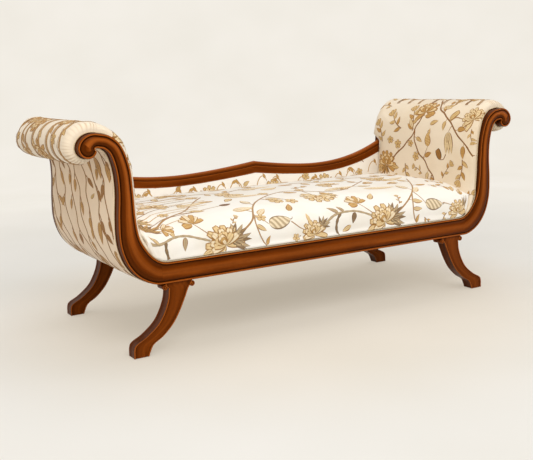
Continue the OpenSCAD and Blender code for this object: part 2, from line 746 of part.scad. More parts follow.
// The padding under an arm's cover: full in the middle, thinner towards its ends
pad_least_share = 0.2;
pad_full_share = 0.94;
pad_end_share = 0.7;
pad_step_share = 0.3;
pad_step = roll_round * pad_step_share;
module arm_band(from, depth_share) {
    sts = [for (st = arm_stations) if (st[3] >= from && st[2] > pad_top * pad_least_share) st];
    polygon(concat(
        [for (st = sts) st[0] + st[1] * (2 * soft_gap)],
        [for (st = reversed(sts)) st[0] + st[1] * (st[2] * depth_share)]
    ));
}
module arm_padding(side) {
    full_from_y = front_crown_y + reveal_volute + roll_round;
    full_to_y = arm_low_back_y - roll_round;
    color(filling) at_end(side) {
        along_y(full_from_y, full_to_y) arm_band(0, pad_full_share);
        along_y(front_crown_y + reveal_volute + pad_step, arm_low_back_y - pad_step)
            arm_band(0, pad_end_share);
        along_y(full_from_y, arm_back_y - pad_step) arm_band(crest_level_share, pad_end_share);
    }
}

// The outside panel of an arm, from the throat down under the frame
outer_first = 1;
outer_reveal_share = 0.78;
outer_reveal = frame_t * outer_reveal_share;
module arm_outer_cover(side) {
    outer = [for (j = [outer_first : band_n]) low_edge(j) - band_up(j) * (soft_gap + cover_t)];
    inner = [for (j = [outer_first : band_n]) low_edge(j) - band_up(j) * soft_gap];
    color(cloth) at_end(side) along_y(front_y + outer_reveal, back_y - outer_reveal)
        polygon(concat(outer, reversed(inner)));
}

// The upholstered back under the crest rail
back_side_n = 5 * band_steps;
back_columns = 10;
back_half = top_edge(4 * band_steps)[0];
back_x = [for (k = [-back_columns : back_columns]) k / back_columns * back_half];
function back_low(x) =
    abs(x) <= half_l ? rail_top_z + soft_gap
                     : lookup(abs(x), [for (j = [0 : back_side_n]) top_edge(j)]) + 2 * soft_gap;
module back_outline(gap) {
    side = [for (j = [0 : back_side_n - 1]) top_edge(j) + band_up(j) * soft_gap];
    polygon(concat(
        [for (p = side) p],
        [for (x = reversed(crest_x)) [x * (1 - 2 * gap / crest_end_x), crest_low(x) - gap]],
        [for (p = reversed(side)) [-p[0], p[1]]]
    ));
}
module back_padding() {
    color(filling) difference() {
        along_y(crest_y + cover_t, crest_y + crest_t) back_outline(soft_gap);
        for (s = post_shares) translate([s * half_l - post_w / 2 - soft_gap, post_y - soft_gap, rail_z])
            cube([post_w + 2 * soft_gap, post_t + frame_t, rail_h + crest_dip + cusp_rise]);
    }
}

// Its inside cover swells forward between the seat and the crest rail
back_rows = 4;
back_swell_power = 8;
half_turn = 180;
module back_cover_inside() {
    color(cloth) loft([
        for (x = back_x)
            let (low = back_low(x) + soft_gap, high = crest_low(x) - soft_gap,
                 swell = back_swell * (1 - pow(x / crest_end_x, back_swell_power)))
            concat(
                [for (k = [0 : back_rows]) let (t = k / back_rows)
                    [x, crest_y - swell * sin(half_turn * t), mix(low, high, t)]],
                [[x, crest_y + cover_t - soft_gap, high], [x, crest_y + cover_t - soft_gap, low]]
            )
    ]);
}

module back_cover_outside() {
    color(cloth) along_y(crest_y + crest_t + soft_gap, crest_y + crest_t + soft_gap + cover_t)
        back_outline(soft_gap);
}

module dust_cover() {
    half = low_edge(outer_first)[0] - soft_gap;
    color(black_cloth) translate([-half, front_in_y, rail_z + soft_gap])
        cube([2 * half, inside_d, cover_t]);
}

front_rail();
back_rail();
end_rail(-1);  // end_rail_left
end_rail(1);  // end_rail_right
seat_braces();
corner_blocks();
front_scroll(-1);  // front_scroll_left
front_scroll(1);  // front_scroll_right
back_scroll(-1);  // back_scroll_left
back_scroll(1);  // back_scroll_right
crest_rail();
back_posts();
arm_slats(-1);  // arm_slats_left
arm_slats(1);  // arm_slats_right
roll_rail(-1);  // roll_rail_left
roll_rail(1);  // roll_rail_right
leg(-1, front_leg_y);  // leg_front_left
leg(1, front_leg_y);  // leg_front_right
leg(-1, back_leg_y);  // leg_back_left
leg(1, back_leg_y);  // leg_back_right
glides();
leg_bolts();
rail_dowels();
seat_trim();
arm_trim(-1);  // arm_trim_left
arm_trim(1);  // arm_trim_right
seat_springs();
spring_clips();
spring_ties();
seat_lining();
seat_padding();
seat_cover();
arm_padding(-1);  // arm_padding_left
arm_padding(1);  // arm_padding_right
arm_cover(-1);  // arm_cover_left
arm_cover(1);  // arm_cover_right
arm_outer_cover(-1);  // arm_outer_cover_left
arm_outer_cover(1);  // arm_outer_cover_right
back_padding();
back_cover_inside();
back_cover_outside();
dust_cover();
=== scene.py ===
import bpy
import bmesh
import json
import math
import random
import numpy as np
from mathutils import Matrix, Vector
from mathutils.bvhtree import BVHTree


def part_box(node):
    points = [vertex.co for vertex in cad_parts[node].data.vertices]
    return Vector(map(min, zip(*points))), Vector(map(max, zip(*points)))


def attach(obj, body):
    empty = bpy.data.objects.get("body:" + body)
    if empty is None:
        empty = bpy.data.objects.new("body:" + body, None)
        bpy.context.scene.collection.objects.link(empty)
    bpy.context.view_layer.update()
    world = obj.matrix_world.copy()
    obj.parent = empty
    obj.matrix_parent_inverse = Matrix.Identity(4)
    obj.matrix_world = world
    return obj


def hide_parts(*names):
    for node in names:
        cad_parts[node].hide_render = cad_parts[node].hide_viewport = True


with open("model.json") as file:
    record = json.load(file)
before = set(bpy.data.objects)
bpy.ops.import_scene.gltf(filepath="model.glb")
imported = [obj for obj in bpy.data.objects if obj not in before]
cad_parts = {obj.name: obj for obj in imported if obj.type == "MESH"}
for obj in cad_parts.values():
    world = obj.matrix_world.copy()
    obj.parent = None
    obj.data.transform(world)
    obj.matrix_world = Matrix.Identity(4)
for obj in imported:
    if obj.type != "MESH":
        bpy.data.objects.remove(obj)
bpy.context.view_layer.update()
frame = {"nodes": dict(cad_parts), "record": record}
MM = 0.001
# Stations of the scrolls' band in the part's source
CAD_BAND = 27
# Where faces meet at more degrees than this, the edge is sharp
WOOD_SHARP, LEG_SHARP, CLOTH_SHARP, SEAT_SHARP, CORD_SHARP = 42, 40, 60, 70, 80

# Sizes in millimetres, as in the part's source
rail_l, body_d, rail_z, rail_h, frame_t = 1514.0, 770.0, 268.0, 79.0, 45.0
scroll_reach, scroll_rise, stile_w, volute_r, volute_end_r = 244.0, 513.0, 54.0, 41.0, 28.0
moulding_h, bead_w, bead_h = 8.0, 8.0, 4.0
crest_dip, cusp_rise, crest_end_rise, cusp_x, crest_h = 302.0, 36.0, 92.0, 80.0, 49.0
crest_t, crest_set = 36.0, 13.0
leg_x, leg_splay, leg_t, leg_inset, ear_r = 690.0, 189.0, 52.0, 13.0, 11.0
glide_h, leg_bead_w, leg_bead_h = 3.0, 6.0, 2.0
pad_top, seat_crown, cover_t, soft_gap = 37.0, 153.0, 1.5, 0.3
reveal_stile, reveal_volute, roll_round, trim_r, back_swell = 26.0, 43.0, 52.0, 2.0, 14.0
half_l = rail_l / 2
front_crown_y = -body_d / 2
front_y = front_crown_y + moulding_h
front_in_y = front_y + frame_t
back_y = body_d / 2
back_in_y = back_y - frame_t
rail_top_z = rail_z + rail_h


def mix(a, b, t):
    return a + (b - a) * t


def ramp(t):
    c = min(1.0, max(0.0, t))
    return c * c * (3 - 2 * c)


def vec(*v):
    return np.array(v, float)


def unit(v):
    return v / max(np.linalg.norm(v), 1e-9)


def left_of(v):
    return vec(-v[1], v[0])


def spoke(a):
    return vec(math.cos(math.radians(a)), math.sin(math.radians(a)))


def spline(knots, steps, before):
    out = []
    k = [np.array(q, float) for q in knots]
    for i in range(len(k) - 1):
        a = k[i - 1] if i > 0 else np.array(before, float)
        b, c = k[i], k[i + 1]
        d = k[i + 2] if i < len(k) - 2 else 2 * c - b
        for j in range(steps):
            t = j / steps
            out.append((2 * b + (c - a) * t + (2 * a - 5 * b + 4 * c - d) * t * t
                        + (3 * b - a - 3 * c + d) * t ** 3) / 2)
    out.append(k[-1])
    return out


def run_lengths(points):
    """How far along the line through them each of the points is."""
    run = [0.0]
    for a, b in zip(points, points[1:]):
        run.append(run[-1] + np.linalg.norm(b - a))
    return run
# The scrolls' band, volute and crown, as in the part's source but with more stations
BS = 12
band_shares = [
    (0.000, 0.000, 0.50, 0.000), (0.205, 0.127, 0.58, 0.000), (0.365, 0.211, 0.57, 0.000),
    (0.471, 0.335, 0.30, 0.290), (0.500, 0.491, 0.10, 0.475), (0.496, 0.686, 0.00, 0.520),
    (0.520, 0.842, 0.00, 0.500), (0.607, 0.975, 0.00, 0.480), (0.734, 1.035, 0.00, 0.470),
    (0.861, 1.051, 0.00, 0.465)]
band_knots = [
    vec(half_l + s[0] * scroll_reach,
        rail_z + (rail_h / 2 if i == 0 else s[1] * scroll_rise),
        s[2] * rail_h + s[3] * stile_w) for i, s in enumerate(band_shares)]
band_before = vec(2 * band_knots[0][0] - band_knots[1][0], band_knots[1][1], band_knots[1][2])
band = spline(band_knots, BS, band_before)
BN = len(band) - 1


def band_way(j):
    return vec(1, 0) if j == 0 else unit((band[min(j + 1, BN)] - band[j - 1])[:2])


band_up = [left_of(band_way(j)) for j in range(BN + 1)]
band_mid = [band[j][:2] for j in range(BN + 1)]
top_edge = [band_mid[j] + band_up[j] * band[j][2] for j in range(BN + 1)]
low_edge = [band_mid[j] - band_up[j] * band[j][2] for j in range(BN + 1)]
# The inner edge leaves the rail's top in one even curve, which begins on the rail
FOOT, FOOT_PULL, FOOT_START = 26, 128.0, 36.0
foot_from, foot_to = top_edge[0] - vec(FOOT_START, 0), top_edge[FOOT]
foot_way = unit(top_edge[FOOT + 1] - top_edge[FOOT - 1]) * FOOT_PULL


def foot_curve(t):
    return (foot_from * (2 * t ** 3 - 3 * t ** 2 + 1) + vec(FOOT_PULL, 0) * (t ** 3 - 2 * t ** 2 + t)
            + foot_to * (3 * t ** 2 - 2 * t ** 3) + foot_way * (t ** 3 - t ** 2))


FOOT_STEPS = 200
foot_line = np.array([foot_curve(k / FOOT_STEPS) for k in range(FOOT_STEPS + 1)])
foot_t0 = np.interp(half_l, foot_line[:, 0], np.linspace(0, 1, FOOT_STEPS + 1))
for j in range(FOOT):
    top_edge[j] = foot_curve(mix(foot_t0, 1.0, j / FOOT))
# The same lines as arrays, and each station's place from 0 at the joint to 1 at the volute
band_t = np.arange(BN + 1) / BN
top_line, low_line, up_line = np.array(top_edge), np.array(low_edge), np.array(band_up)


def along_band(w, line):
    """The point of a line of the band at w."""
    return vec(np.interp(w, band_t, line[:, 0]), np.interp(w, band_t, line[:, 1]))


def rail_rise(x):
    """How far the rail's top has risen at x, near its ends."""
    return np.interp(abs(x), foot_line[:, 0], foot_line[:, 1]) - rail_top_z


eye = vec(half_l + scroll_reach, rail_z + scroll_rise)
v_from = top_edge[BN] - eye
volute_start_r = np.linalg.norm(v_from)
volute_start_a = math.degrees(math.atan2(v_from[1], v_from[0]))
volute_end_a = -160.0


def volute_radius(a):
    if a < 0:
        return mix(volute_r, volute_end_r, a / volute_end_a)
    return mix(volute_r, volute_start_r, (a / volute_start_a) ** 2.6)


def volute_edge(a):
    return eye + volute_radius(a) * spoke(a)


notch_r = volute_end_r * 0.125
throat = mix(low_edge[BN], volute_edge(volute_end_a), 0.5) + notch_r * vec(1, 0.33)
FAN, TURN, eye_turn_a = 16, 36, 40.0
crown_bend = vec(eye[0] - volute_r * 0.17, band_mid[BN][1] - notch_r)


def crown_path(t):
    return mix(mix(band_mid[BN], crown_bend, t), mix(crown_bend, eye, t), t)


scroll_outline = (
    [(low_edge[j], j) for j in range(BN + 1)]
    + [(throat + notch_r * spoke(mix(90, -75, k / FAN)), BN + k) for k in range(1, FAN)]
    + [(volute_edge(mix(volute_end_a, eye_turn_a, k / TURN)), BN + FAN) for k in range(TURN + 1)]
    + [(volute_edge(mix(eye_turn_a, volute_start_a, k / FAN)), BN + FAN - k) for k in range(1, FAN)]
    + [(top_edge[j], j) for j in range(BN, -1, -1)])
scroll_crown = [band_mid[j] for j in range(BN + 1)] + [crown_path(k / FAN) for k in range(1, FAN + 1)]

# A ring of the moulding: offset from the edge in mm, share of the way to the crown after that,
# height, and its painted light: painted shade below 0, darkest in the grooves, and painted highlight above
# 0, on the bead and toward the crown
BEAD_STEPS, FACE_STEPS = 8, 9
groove_out = bead_w + 2.4


def moulding_rings():
    rings = []
    for k in range(BEAD_STEPS + 1):
        a = math.pi * k / BEAD_STEPS
        rings.append((bead_w * (1 - math.cos(a)) / 2, 0, bead_h * math.sin(a),
                      0.9 * math.sin(a) ** 3 - 0.15))
    rings += [(bead_w + 0.3, 0, -1.2, -1.1), (bead_w + 1.8, 0, -1.2, -1.1), (groove_out, 0, 0.3, -0.9)]
    for k in range(1, FACE_STEPS):
        a = math.pi / 2 * k / FACE_STEPS
        painted_light = 0.42 * (k / FACE_STEPS) ** 2 - 0.85 * (1 - k / FACE_STEPS) ** 1.3
        rings.append((groove_out, 1 - math.cos(a), moulding_h * math.sin(a), painted_light))
    return rings


RINGS = moulding_rings()
# The edge's side: share of the thickness, how far it is fluted inward, and its painted shade
SIDE = [(0.0, 0.0, -0.2), (0.10, 0.0, -0.45), (0.14, 1.1, -1.0), (0.30, 1.7, -0.5), (0.50, 1.8, -0.4),
        (0.70, 1.7, -0.45), (0.86, 1.1, -1.0), (0.90, 0.0, -0.5), (0.985, 0.0, -0.4), (1.0, 0.7, 0.0)]
# The back scroll's rounded arris: offset from the edge, height and painted light: painted highlight on the
# rounding, painted shade on the side
ARRIS = [(3.4, 0.0, 0.0), (1.8, -0.25, 0.3), (0.7, -0.9, 0.5), (0.1, -1.9, -0.2), (0.0, -3.2, -0.5)]


def new_mesh(name, verts, faces, uvs=None, painted_light=None, smooth_deg=38.0, recalc=True):
    """An object from plain lists, with a UV and a value of painted light per vertex, and creases where it is
    sharp.
    """
    me = bpy.data.meshes.new(name)
    me.from_pydata([tuple(v) for v in verts], [], faces)
    if painted_light is not None:
        at = me.attributes.new("painted_light", "FLOAT", "POINT")
        at.data.foreach_set("value", np.array(painted_light, np.float32))
    if uvs is not None:
        layer = me.uv_layers.new(name="UVMap")
        idx = np.empty(len(me.loops), np.int32)
        me.loops.foreach_get("vertex_index", idx)
        layer.data.foreach_set("uv", np.array(uvs, np.float32)[idx].ravel())
    bm = bmesh.new()
    bm.from_mesh(me)
    if recalc:
        bmesh.ops.recalc_face_normals(bm, faces=bm.faces)
    lim = math.radians(smooth_deg)
    for f in bm.faces:
        f.smooth = True
    for e in bm.edges:
        e.smooth = not (len(e.link_faces) == 2 and e.calc_face_angle(0) > lim)
    bm.to_mesh(me)
    bm.free()
    ob = bpy.data.objects.new(name, me)
    bpy.context.scene.collection.objects.link(ob)
    return ob


def grid(rows, cols, close=False, base=0):
    faces = []
    for r in range(rows - 1):
        for c in range(cols if close else cols - 1):
            a, b = base + r * cols + c, base + r * cols + (c + 1) % cols
            faces.append((a, b, b + cols, a + cols))
    return faces


def tube(rows, cols, base=0):
    """Faces of a closed tube, with one face over each end."""
    last = base + (rows - 1) * cols
    return grid(rows, cols, True, base) + [tuple(range(base, base + cols)), tuple(range(last, last + cols))]


def slab(rows, cols):
    """Faces of a slab: an outer grid, its copy turned round behind it, and the walls between the two."""
    base, last = rows * cols, (rows - 1) * cols
    faces = grid(rows, cols) + [f[::-1] for f in grid(rows, cols, False, base)]
    for i in range(rows - 1):
        a, b = i * cols, (i + 1) * cols
        faces.append((a, b, b + base, a + base))
        a, b = a + cols - 1, b + cols - 1
        faces.append((b, a, a + base, b + base))
    for k in range(cols - 1):
        faces.append((k + 1, k, k + base, k + 1 + base))
        faces.append((last + k, last + k + 1, last + k + 1 + base, last + k + base))
    return faces


class Skin:
    """A mesh in the making: points in millimetres, each with its UV in metres and its painted light, painted
    shade below 0 and painted highlight above 0.
    """

    def __init__(self):
        self.verts, self.uvs, self.painted_light = [], [], []

    def put(self, x, y, z, u, v, painted_light):
        self.verts.append((x * MM, y * MM, z * MM))
        self.uvs.append((u, v))
        self.painted_light.append(painted_light)

    def mesh(self, name, faces, sharp):
        return new_mesh(name, self.verts, faces, self.uvs, self.painted_light, sharp)


outline_len = run_lengths([p for p, m in scroll_outline])
# The strength of the painted highlight and the painted shade along a scroll's face, the crown line's step
# along the grain, and the back edge's place across it, in mm
UPPER_PAINTED_HIGHLIGHT, LOWER_PAINTED_SHADE, CROWN_STEP, BACK_UV = 0.62, -0.28, 5.0, 60


def painted_streak(m, share, upper):
    """Painted light: a painted highlight along the upper half of a scroll's face, and painted shade along
    its lower half.
    """
    if not 0 < share < 1:
        return 0.0
    along = ramp((m / BN - 0.2) / 0.35)
    return (UPPER_PAINTED_HIGHLIGHT * along if upper else LOWER_PAINTED_SHADE) * math.sin(math.pi * share) ** 1.5


def scroll_piece(name, side, back=False):
    """One carved scroll frame. The back one is plain, with rounded arrises."""
    n = len(scroll_outline)
    skin = Skin()

    def ring(off, share, y, v, w):
        for i, (p, m) in enumerate(scroll_outline):
            c = scroll_crown[m]
            q = mix(p + unit(c - p) * off, c, share)
            lit = painted_streak(m, share, i >= n - BN - FAN)
            across = (v + share * np.linalg.norm(c - p)) * MM
            skin.put(side * q[0], y, q[1], outline_len[i] * MM, across, w + lit)

    if back:
        for off, h, w in ARRIS:
            ring(off, 0, back_y + h, off, w)
        for off, h, w in ARRIS[::-1]:
            ring(off, 0, back_in_y - h, off + BACK_UV, w)
        rows = 2 * len(ARRIS)
        face_y, other_y = back_y, back_in_y
    else:
        for s, d, w in SIDE[::-1]:
            ring(d, 0, mix(front_y, front_in_y, s), -s * frame_t, w)
        for off, share, h, w in RINGS:
            ring(off, share, front_y - h, off, w)
        rows = len(SIDE) + len(RINGS)
        face_y, other_y = front_y - moulding_h, front_in_y
    crowns = []
    # The face's crown line carries a painted highlight
    for y, v, w in ((face_y, 0.03, 0.3), (other_y, 0.09, 0.0)):
        crowns.append(len(skin.verts))
        for k, c in enumerate(scroll_crown):
            skin.put(side * c[0], y, c[1], k * CROWN_STEP * MM, v, w)
    # Both faces run from their ring to their crown line
    faces = grid(rows, n)
    last_ring = (rows - 1) * n
    for first, crown in zip((0, last_ring) if back else (last_ring, 0), crowns):
        for i in range(n - 1):
            a, b = first + i, first + i + 1
            m0, m1 = crown + scroll_outline[i][1], crown + scroll_outline[i + 1][1]
            faces.append((a, b, m0) if m0 == m1 else (a, b, m1, m0))
    # One face closes the joint's end
    near, far = crowns[::-1] if back else crowns
    starts = [r * n for r in range(rows)]
    faces.append(tuple(starts + [near] + [r + n - 1 for r in starts[::-1]] + [far]))
    return skin.mesh(name, faces, WOOD_SHARP)


# Where on the wood's grain the rails lie in metres, and how many stations each part of a rail has
RAIL_UV, CREST_UV, CREST_UV_STEP = 3.1, 1.7, 0.006
RAIL_STATIONS, FOOT_STATIONS, CREST_LEFT, CREST_RIGHT, CREST_ROUND = 39, 6, 60, 50, 14


def rail_piece(name):
    """The front rail, with the scrolls' moulding along it."""
    mid = rail_z + rail_h / 2
    half = [(front_y - h, mix(rail_top_z - off, mid, share), w) for off, share, h, w in RINGS]
    sec = [(mix(front_y, front_in_y, s), rail_top_z - d, w) for s, d, w in SIDE[::-1]]
    # The rail's crown line carries a painted highlight, as the scrolls' does
    sec += half + [(front_y - moulding_h, mid, 0.3)] + [(y, 2 * mid - z, w) for y, z, w in half[::-1]]
    sec += [(mix(front_y, front_in_y, s), rail_z + d, w) for s, d, w in SIDE]
    run = run_lengths([vec(y, z) for y, z, w in sec])
    ends = [half_l - 0.25 - FOOT_START * k / FOOT_STATIONS for k in range(FOOT_STATIONS + 1)]
    xs = [-x for x in ends] + list(np.linspace(-ends[-1], ends[-1], RAIL_STATIONS)[1:-1]) + ends[::-1]
    skin = Skin()
    for x in xs:
        for k, (y, z, w) in enumerate(sec):
            z += rail_rise(x) * max(0.0, (z - mid) / (rail_h / 2))
            skin.put(x, y, z, x * MM + RAIL_UV, run[k] * MM, w)
    return skin.mesh(name, tube(len(xs), len(sec)), WOOD_SHARP)


crest_end_x = np.interp(15 / CAD_BAND, band_t, top_line[:, 0]) - soft_gap
crest_y = back_y - crest_t - crest_set


def crest_along(x):
    return (x - cusp_x) / (crest_end_x - cusp_x) if x > cusp_x else (cusp_x - x) / (crest_end_x + cusp_x)


def cusp_part(v):
    return (1 - v / 0.45) ** 1.6 if v < 0.45 else 0.0


def end_part(v):
    return ((v - 0.45) / 0.55) ** 2.2 if v > 0.45 else 0.0


def crest_top(x):
    v = crest_along(x)
    return rail_z + crest_dip + cusp_rise * cusp_part(v) + crest_end_rise * end_part(v)


def crest_low(x):
    v = crest_along(x)
    return crest_top(x) - crest_h * (1 + 0.14 * cusp_part(v) + 0.18 * end_part(v))


def crest_piece(name):
    """The crest rail: a hollow-edged face below, a groove, and a full round along its top."""
    # Its section: share of the thickness, share of the height, and painted light: painted highlights on the
    # lower edge and on the round, painted shade in the groove
    sec = [(0.10, 0.0, 0.2), (0.03, 0.015, 0.5), (0.0, 0.05, 0.6), (0.0, 0.09, 0.1), (0.012, 0.2, 0),
           (0.016, 0.35, 0), (0.012, 0.5, 0), (0.0, 0.585, 0.3), (0.0, 0.61, 0.5), (0.035, 0.625, -1),
           (0.05, 0.645, -1), (0.02, 0.665, -0.3)]
    for k in range(CREST_ROUND + 1):
        a = math.pi * k / CREST_ROUND
        sec.append((0.5 - 0.5 * math.cos(a), 0.70 + 0.30 * math.sin(a) ** 0.8, 0.7 * math.sin(a) - 0.1))
    sec += [(1.0, 0.4, 0), (1.0, 0.04, 0.2), (0.96, 0.0, 0.2)]
    xs = [mix(-crest_end_x, cusp_x, k / CREST_LEFT) for k in range(CREST_LEFT)]
    xs += [mix(cusp_x, crest_end_x, k / CREST_RIGHT) for k in range(CREST_RIGHT + 1)]
    skin = Skin()
    for x in xs:
        lo, hi = crest_low(x), crest_top(x)
        for k, (a, b, w) in enumerate(sec):
            skin.put(x, crest_y + a * crest_t, mix(lo, hi, b), x * MM + CREST_UV, k * CREST_UV_STEP, w)
    return skin.mesh(name, tube(len(xs), len(sec)), WOOD_SHARP)


leg_outer_shares = [(0.20, 0.925), (0.2275, 0.765), (0.317, 0.597), (0.466, 0.433), (0.72, 0.287),
                    (0.93, 0.207), (0.99, 0.142), (1.00, 0.00)]
leg_inner_shares = [(-0.222, 0.88), (-0.138, 0.746), (-0.021, 0.578), (0.138, 0.407), (0.355, 0.261),
                    (0.566, 0.168), (0.645, 0.075), (0.682, 0.00)]


def leg_edge(shares, steps):
    k = [vec(leg_x + s[0] * leg_splay, max(glide_h, s[1] * rail_z)) for s in shares]
    return spline(k, steps, 2 * k[0] - k[1])


LEG_STEPS = 9
leg_outer, leg_inner = leg_edge(leg_outer_shares, LEG_STEPS), leg_edge(leg_inner_shares, LEG_STEPS)
ear_z = rail_z - ear_r * 1.45
outer_ear = vec(leg_outer[0][0] + ear_r * 1.25, ear_z)
inner_ear = vec(leg_inner[0][0] - ear_r * 1.6, ear_z)
front_leg_y = front_crown_y + leg_inset + leg_t / 2
back_leg_y = back_y - 3 - leg_t / 2
# Across half of a leg's face: offset from its edge, share of the way to the middle, height and painted
# light: painted highlight on the bead, painted shade in the groove
LEG_BEAD_STEPS = 6
leg_face = []
for k in range(LEG_BEAD_STEPS + 1):
    sine = math.sin(math.pi * k / LEG_BEAD_STEPS)
    leg_face.append((leg_bead_w * (1 - math.cos(math.pi * k / LEG_BEAD_STEPS)) / 2, 0,
                     leg_bead_h * (0.15 + 0.85 * sine), 0.9 * sine ** 2 - 0.1))
leg_face += [(leg_bead_w + 0.3, 0, -0.6, -1.0), (leg_bead_w + 1.1, 0, -0.6, -0.9),
             (leg_bead_w + 1.8, 0, 0.2, -0.3), (leg_bead_w + 1.8, 0.55, 0.6, 0.1)]
# An ear's turned face: share of its radius and height
EAR_FACE = [(0.0, 1.5), (0.18, 1.5), (0.34, 1.0), (0.42, -0.8), (0.52, -1.2), (0.60, 0.2), (0.72, 1.3),
            (0.85, 1.4), (0.95, 0.6), (1.0, -1.2)]
EAR_SIDES = 28


def leg_piece(name, side, yc):
    """A sabre leg: raised round edges, a slightly hollow face, scrolled ears and a block foot."""
    stations = [(vec(outer_ear[0], rail_z - 0.2), vec(inner_ear[0], rail_z - 0.2)),
                (vec(outer_ear[0] - 1, ear_z + 4), vec(inner_ear[0] + 1, ear_z + 4)),
                (vec(outer_ear[0] - ear_r * 0.8, ear_z - 2), vec(inner_ear[0] + ear_r * 0.9, ear_z - 4))]
    stations += list(zip(leg_outer, leg_inner))
    yf = yc - leg_t / 2 + leg_bead_h
    yb = yc + leg_t / 2 - leg_bead_h
    # The flute in a leg's side: how deep, where, its painted light, mostly painted shade, and its place
    # across the grain
    flute = [(0.6, yf + 2.2, 0.1, 4), (1.4, yf + 6, -0.7, 8), (1.6, yc, -0.4, 24), (1.4, yb - 6, -0.7, 40),
             (0.6, yb - 2.2, 0.1, 44)]
    skin = Skin()
    for (a, b), run in zip(stations, run_lengths([(a + b) / 2 for a, b in stations])):
        width = np.linalg.norm(b - a)
        d = (b - a) / max(width, 1e-6)
        face = [(mix(o, width / 2, share), h, w) for o, share, h, w in leg_face]
        face += [(width - o, h, w) for o, h, w in face[::-1]]
        ring = [(a + d * o, yf - h, w, o) for o, h, w in face]
        ring += [(b - d * o, y, w, width + v) for o, y, w, v in flute]
        ring += [(a + d * o, yb + h, w, width + 50 + (width - o)) for o, h, w in face[::-1]]
        ring += [(a + d * o, y, w, -v) for o, y, w, v in flute[::-1]]
        for p, y, w, v in ring:
            skin.put(side * p[0], y, p[1], run * MM, v * MM, w)
    faces = tube(len(stations), len(ring))
    # Ears: a turned roll with a button in its eye
    ear = [(r, yf - h) for r, h in EAR_FACE] + [(0.97, yc - 8), (0.93, yc), (0.97, yc + 8)]
    ear += [(r, yb + h) for r, h in EAR_FACE[::-1]]
    for c in (outer_ear, inner_ear):
        faces += tube(len(ear), EAR_SIDES, len(skin.verts))
        for r, y in ear:
            # Painted shade in the ear's groove and painted highlight on its roll
            painted_light = -0.9 if 0.4 < r < 0.55 else 0.3 if r < 0.9 else 0.0
            for k in range(EAR_SIDES):
                a = 2 * math.pi * k / EAR_SIDES
                rr = max(r, 0.02) * ear_r
                skin.put(side * (c[0] + rr * math.cos(a)), y, c[1] + rr * math.sin(a),
                         a * 0.01, r * 0.01 + y * MM, painted_light)
    return skin.mesh(name, faces, LEG_SHARP)


def ridden(ob, slot_name, *nodes):
    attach(ob, "root")
    if nodes:
        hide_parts(*nodes)
    return ob


# Materials
def srgb(r, g, b):
    def lin(c):
        c /= 255
        return c / 12.92 if c <= 0.04045 else ((c + 0.055) / 1.055) ** 2.4
    return (lin(r), lin(g), lin(b), 1.0)


def material(name):
    m = bpy.data.materials.new(name)
    m.use_nodes = True
    nt = m.node_tree
    nt.nodes.clear()
    out = nt.nodes.new("ShaderNodeOutputMaterial")
    bsdf = nt.nodes.new("ShaderNodeBsdfPrincipled")
    nt.links.new(bsdf.outputs[0], out.inputs[0])
    return m, nt, bsdf


def node(nt, kind, **kw):
    """A node with sockets or settings of those names set."""
    n = nt.nodes.new(kind)
    for k, v in kw.items():
        if k in n.inputs:
            n.inputs[k].default_value = v
        else:
            setattr(n, k, v)
    return n


def link(nt, a, b):
    nt.links.new(a, b)


def set_sockets(shader, values):
    for name, value in values.items():
        shader.inputs[name].default_value = value


def noise(nt, at, scale, detail, **more):
    """Noise over the coordinates at."""
    n = node(nt, "ShaderNodeTexNoise", Scale=scale, Detail=detail, **more)
    link(nt, at, n.inputs["Vector"])
    return n.outputs[0]


def scaled(nt, at, scale, place=(0.0, 0.0, 0.0)):
    """The coordinates at, times a scale for each axis."""
    n = node(nt, "ShaderNodeMapping", Scale=scale, Location=place)
    link(nt, at, n.inputs[0])
    return n.outputs[0]


def bump(nt, height, strength, distance, under=None):
    """A bumped normal, over another one if under is given."""
    n = node(nt, "ShaderNodeBump", Strength=strength, Distance=distance)
    link(nt, height, n.inputs["Height"])
    if under is not None:
        link(nt, under, n.inputs["Normal"])
    return n.outputs[0]


def object_place(nt):
    return node(nt, "ShaderNodeTexCoord").outputs["Object"]


def uv_place(nt):
    return node(nt, "ShaderNodeUVMap", uv_map="UVMap").outputs[0]


def value_at(nt, name):
    return node(nt, "ShaderNodeAttribute", attribute_name=name)


def color_ramp(nt, stops, fac):
    r = nt.nodes.new("ShaderNodeValToRGB")
    els = r.color_ramp.elements
    while len(els) > 1:
        els.remove(els[-1])
    els[0].position, els[0].color = stops[0]
    for p, c in stops[1:]:
        e = els.new(p)
        e.color = c
    link(nt, fac, r.inputs[0])
    return r.outputs[0]


def math_node(nt, op, a, b=None, c=None, clamp=False):
    n = nt.nodes.new("ShaderNodeMath")
    n.operation = op
    n.use_clamp = clamp
    for i, v in enumerate((a, b, c)):
        if v is None:
            continue
        if isinstance(v, (int, float)):
            n.inputs[i].default_value = v
        else:
            link(nt, v, n.inputs[i])
    return n.outputs[0]


def mix_color(nt, fac, a, b, mode="MIX"):
    n = nt.nodes.new("ShaderNodeMix")
    n.data_type = "RGBA"
    n.blend_type = mode
    for sock, v in ((n.inputs[0], fac), (n.inputs[6], a), (n.inputs[7], b)):
        if isinstance(v, (int, float, tuple)):
            sock.default_value = v
        else:
            link(nt, v, sock)
    return n.outputs[2]


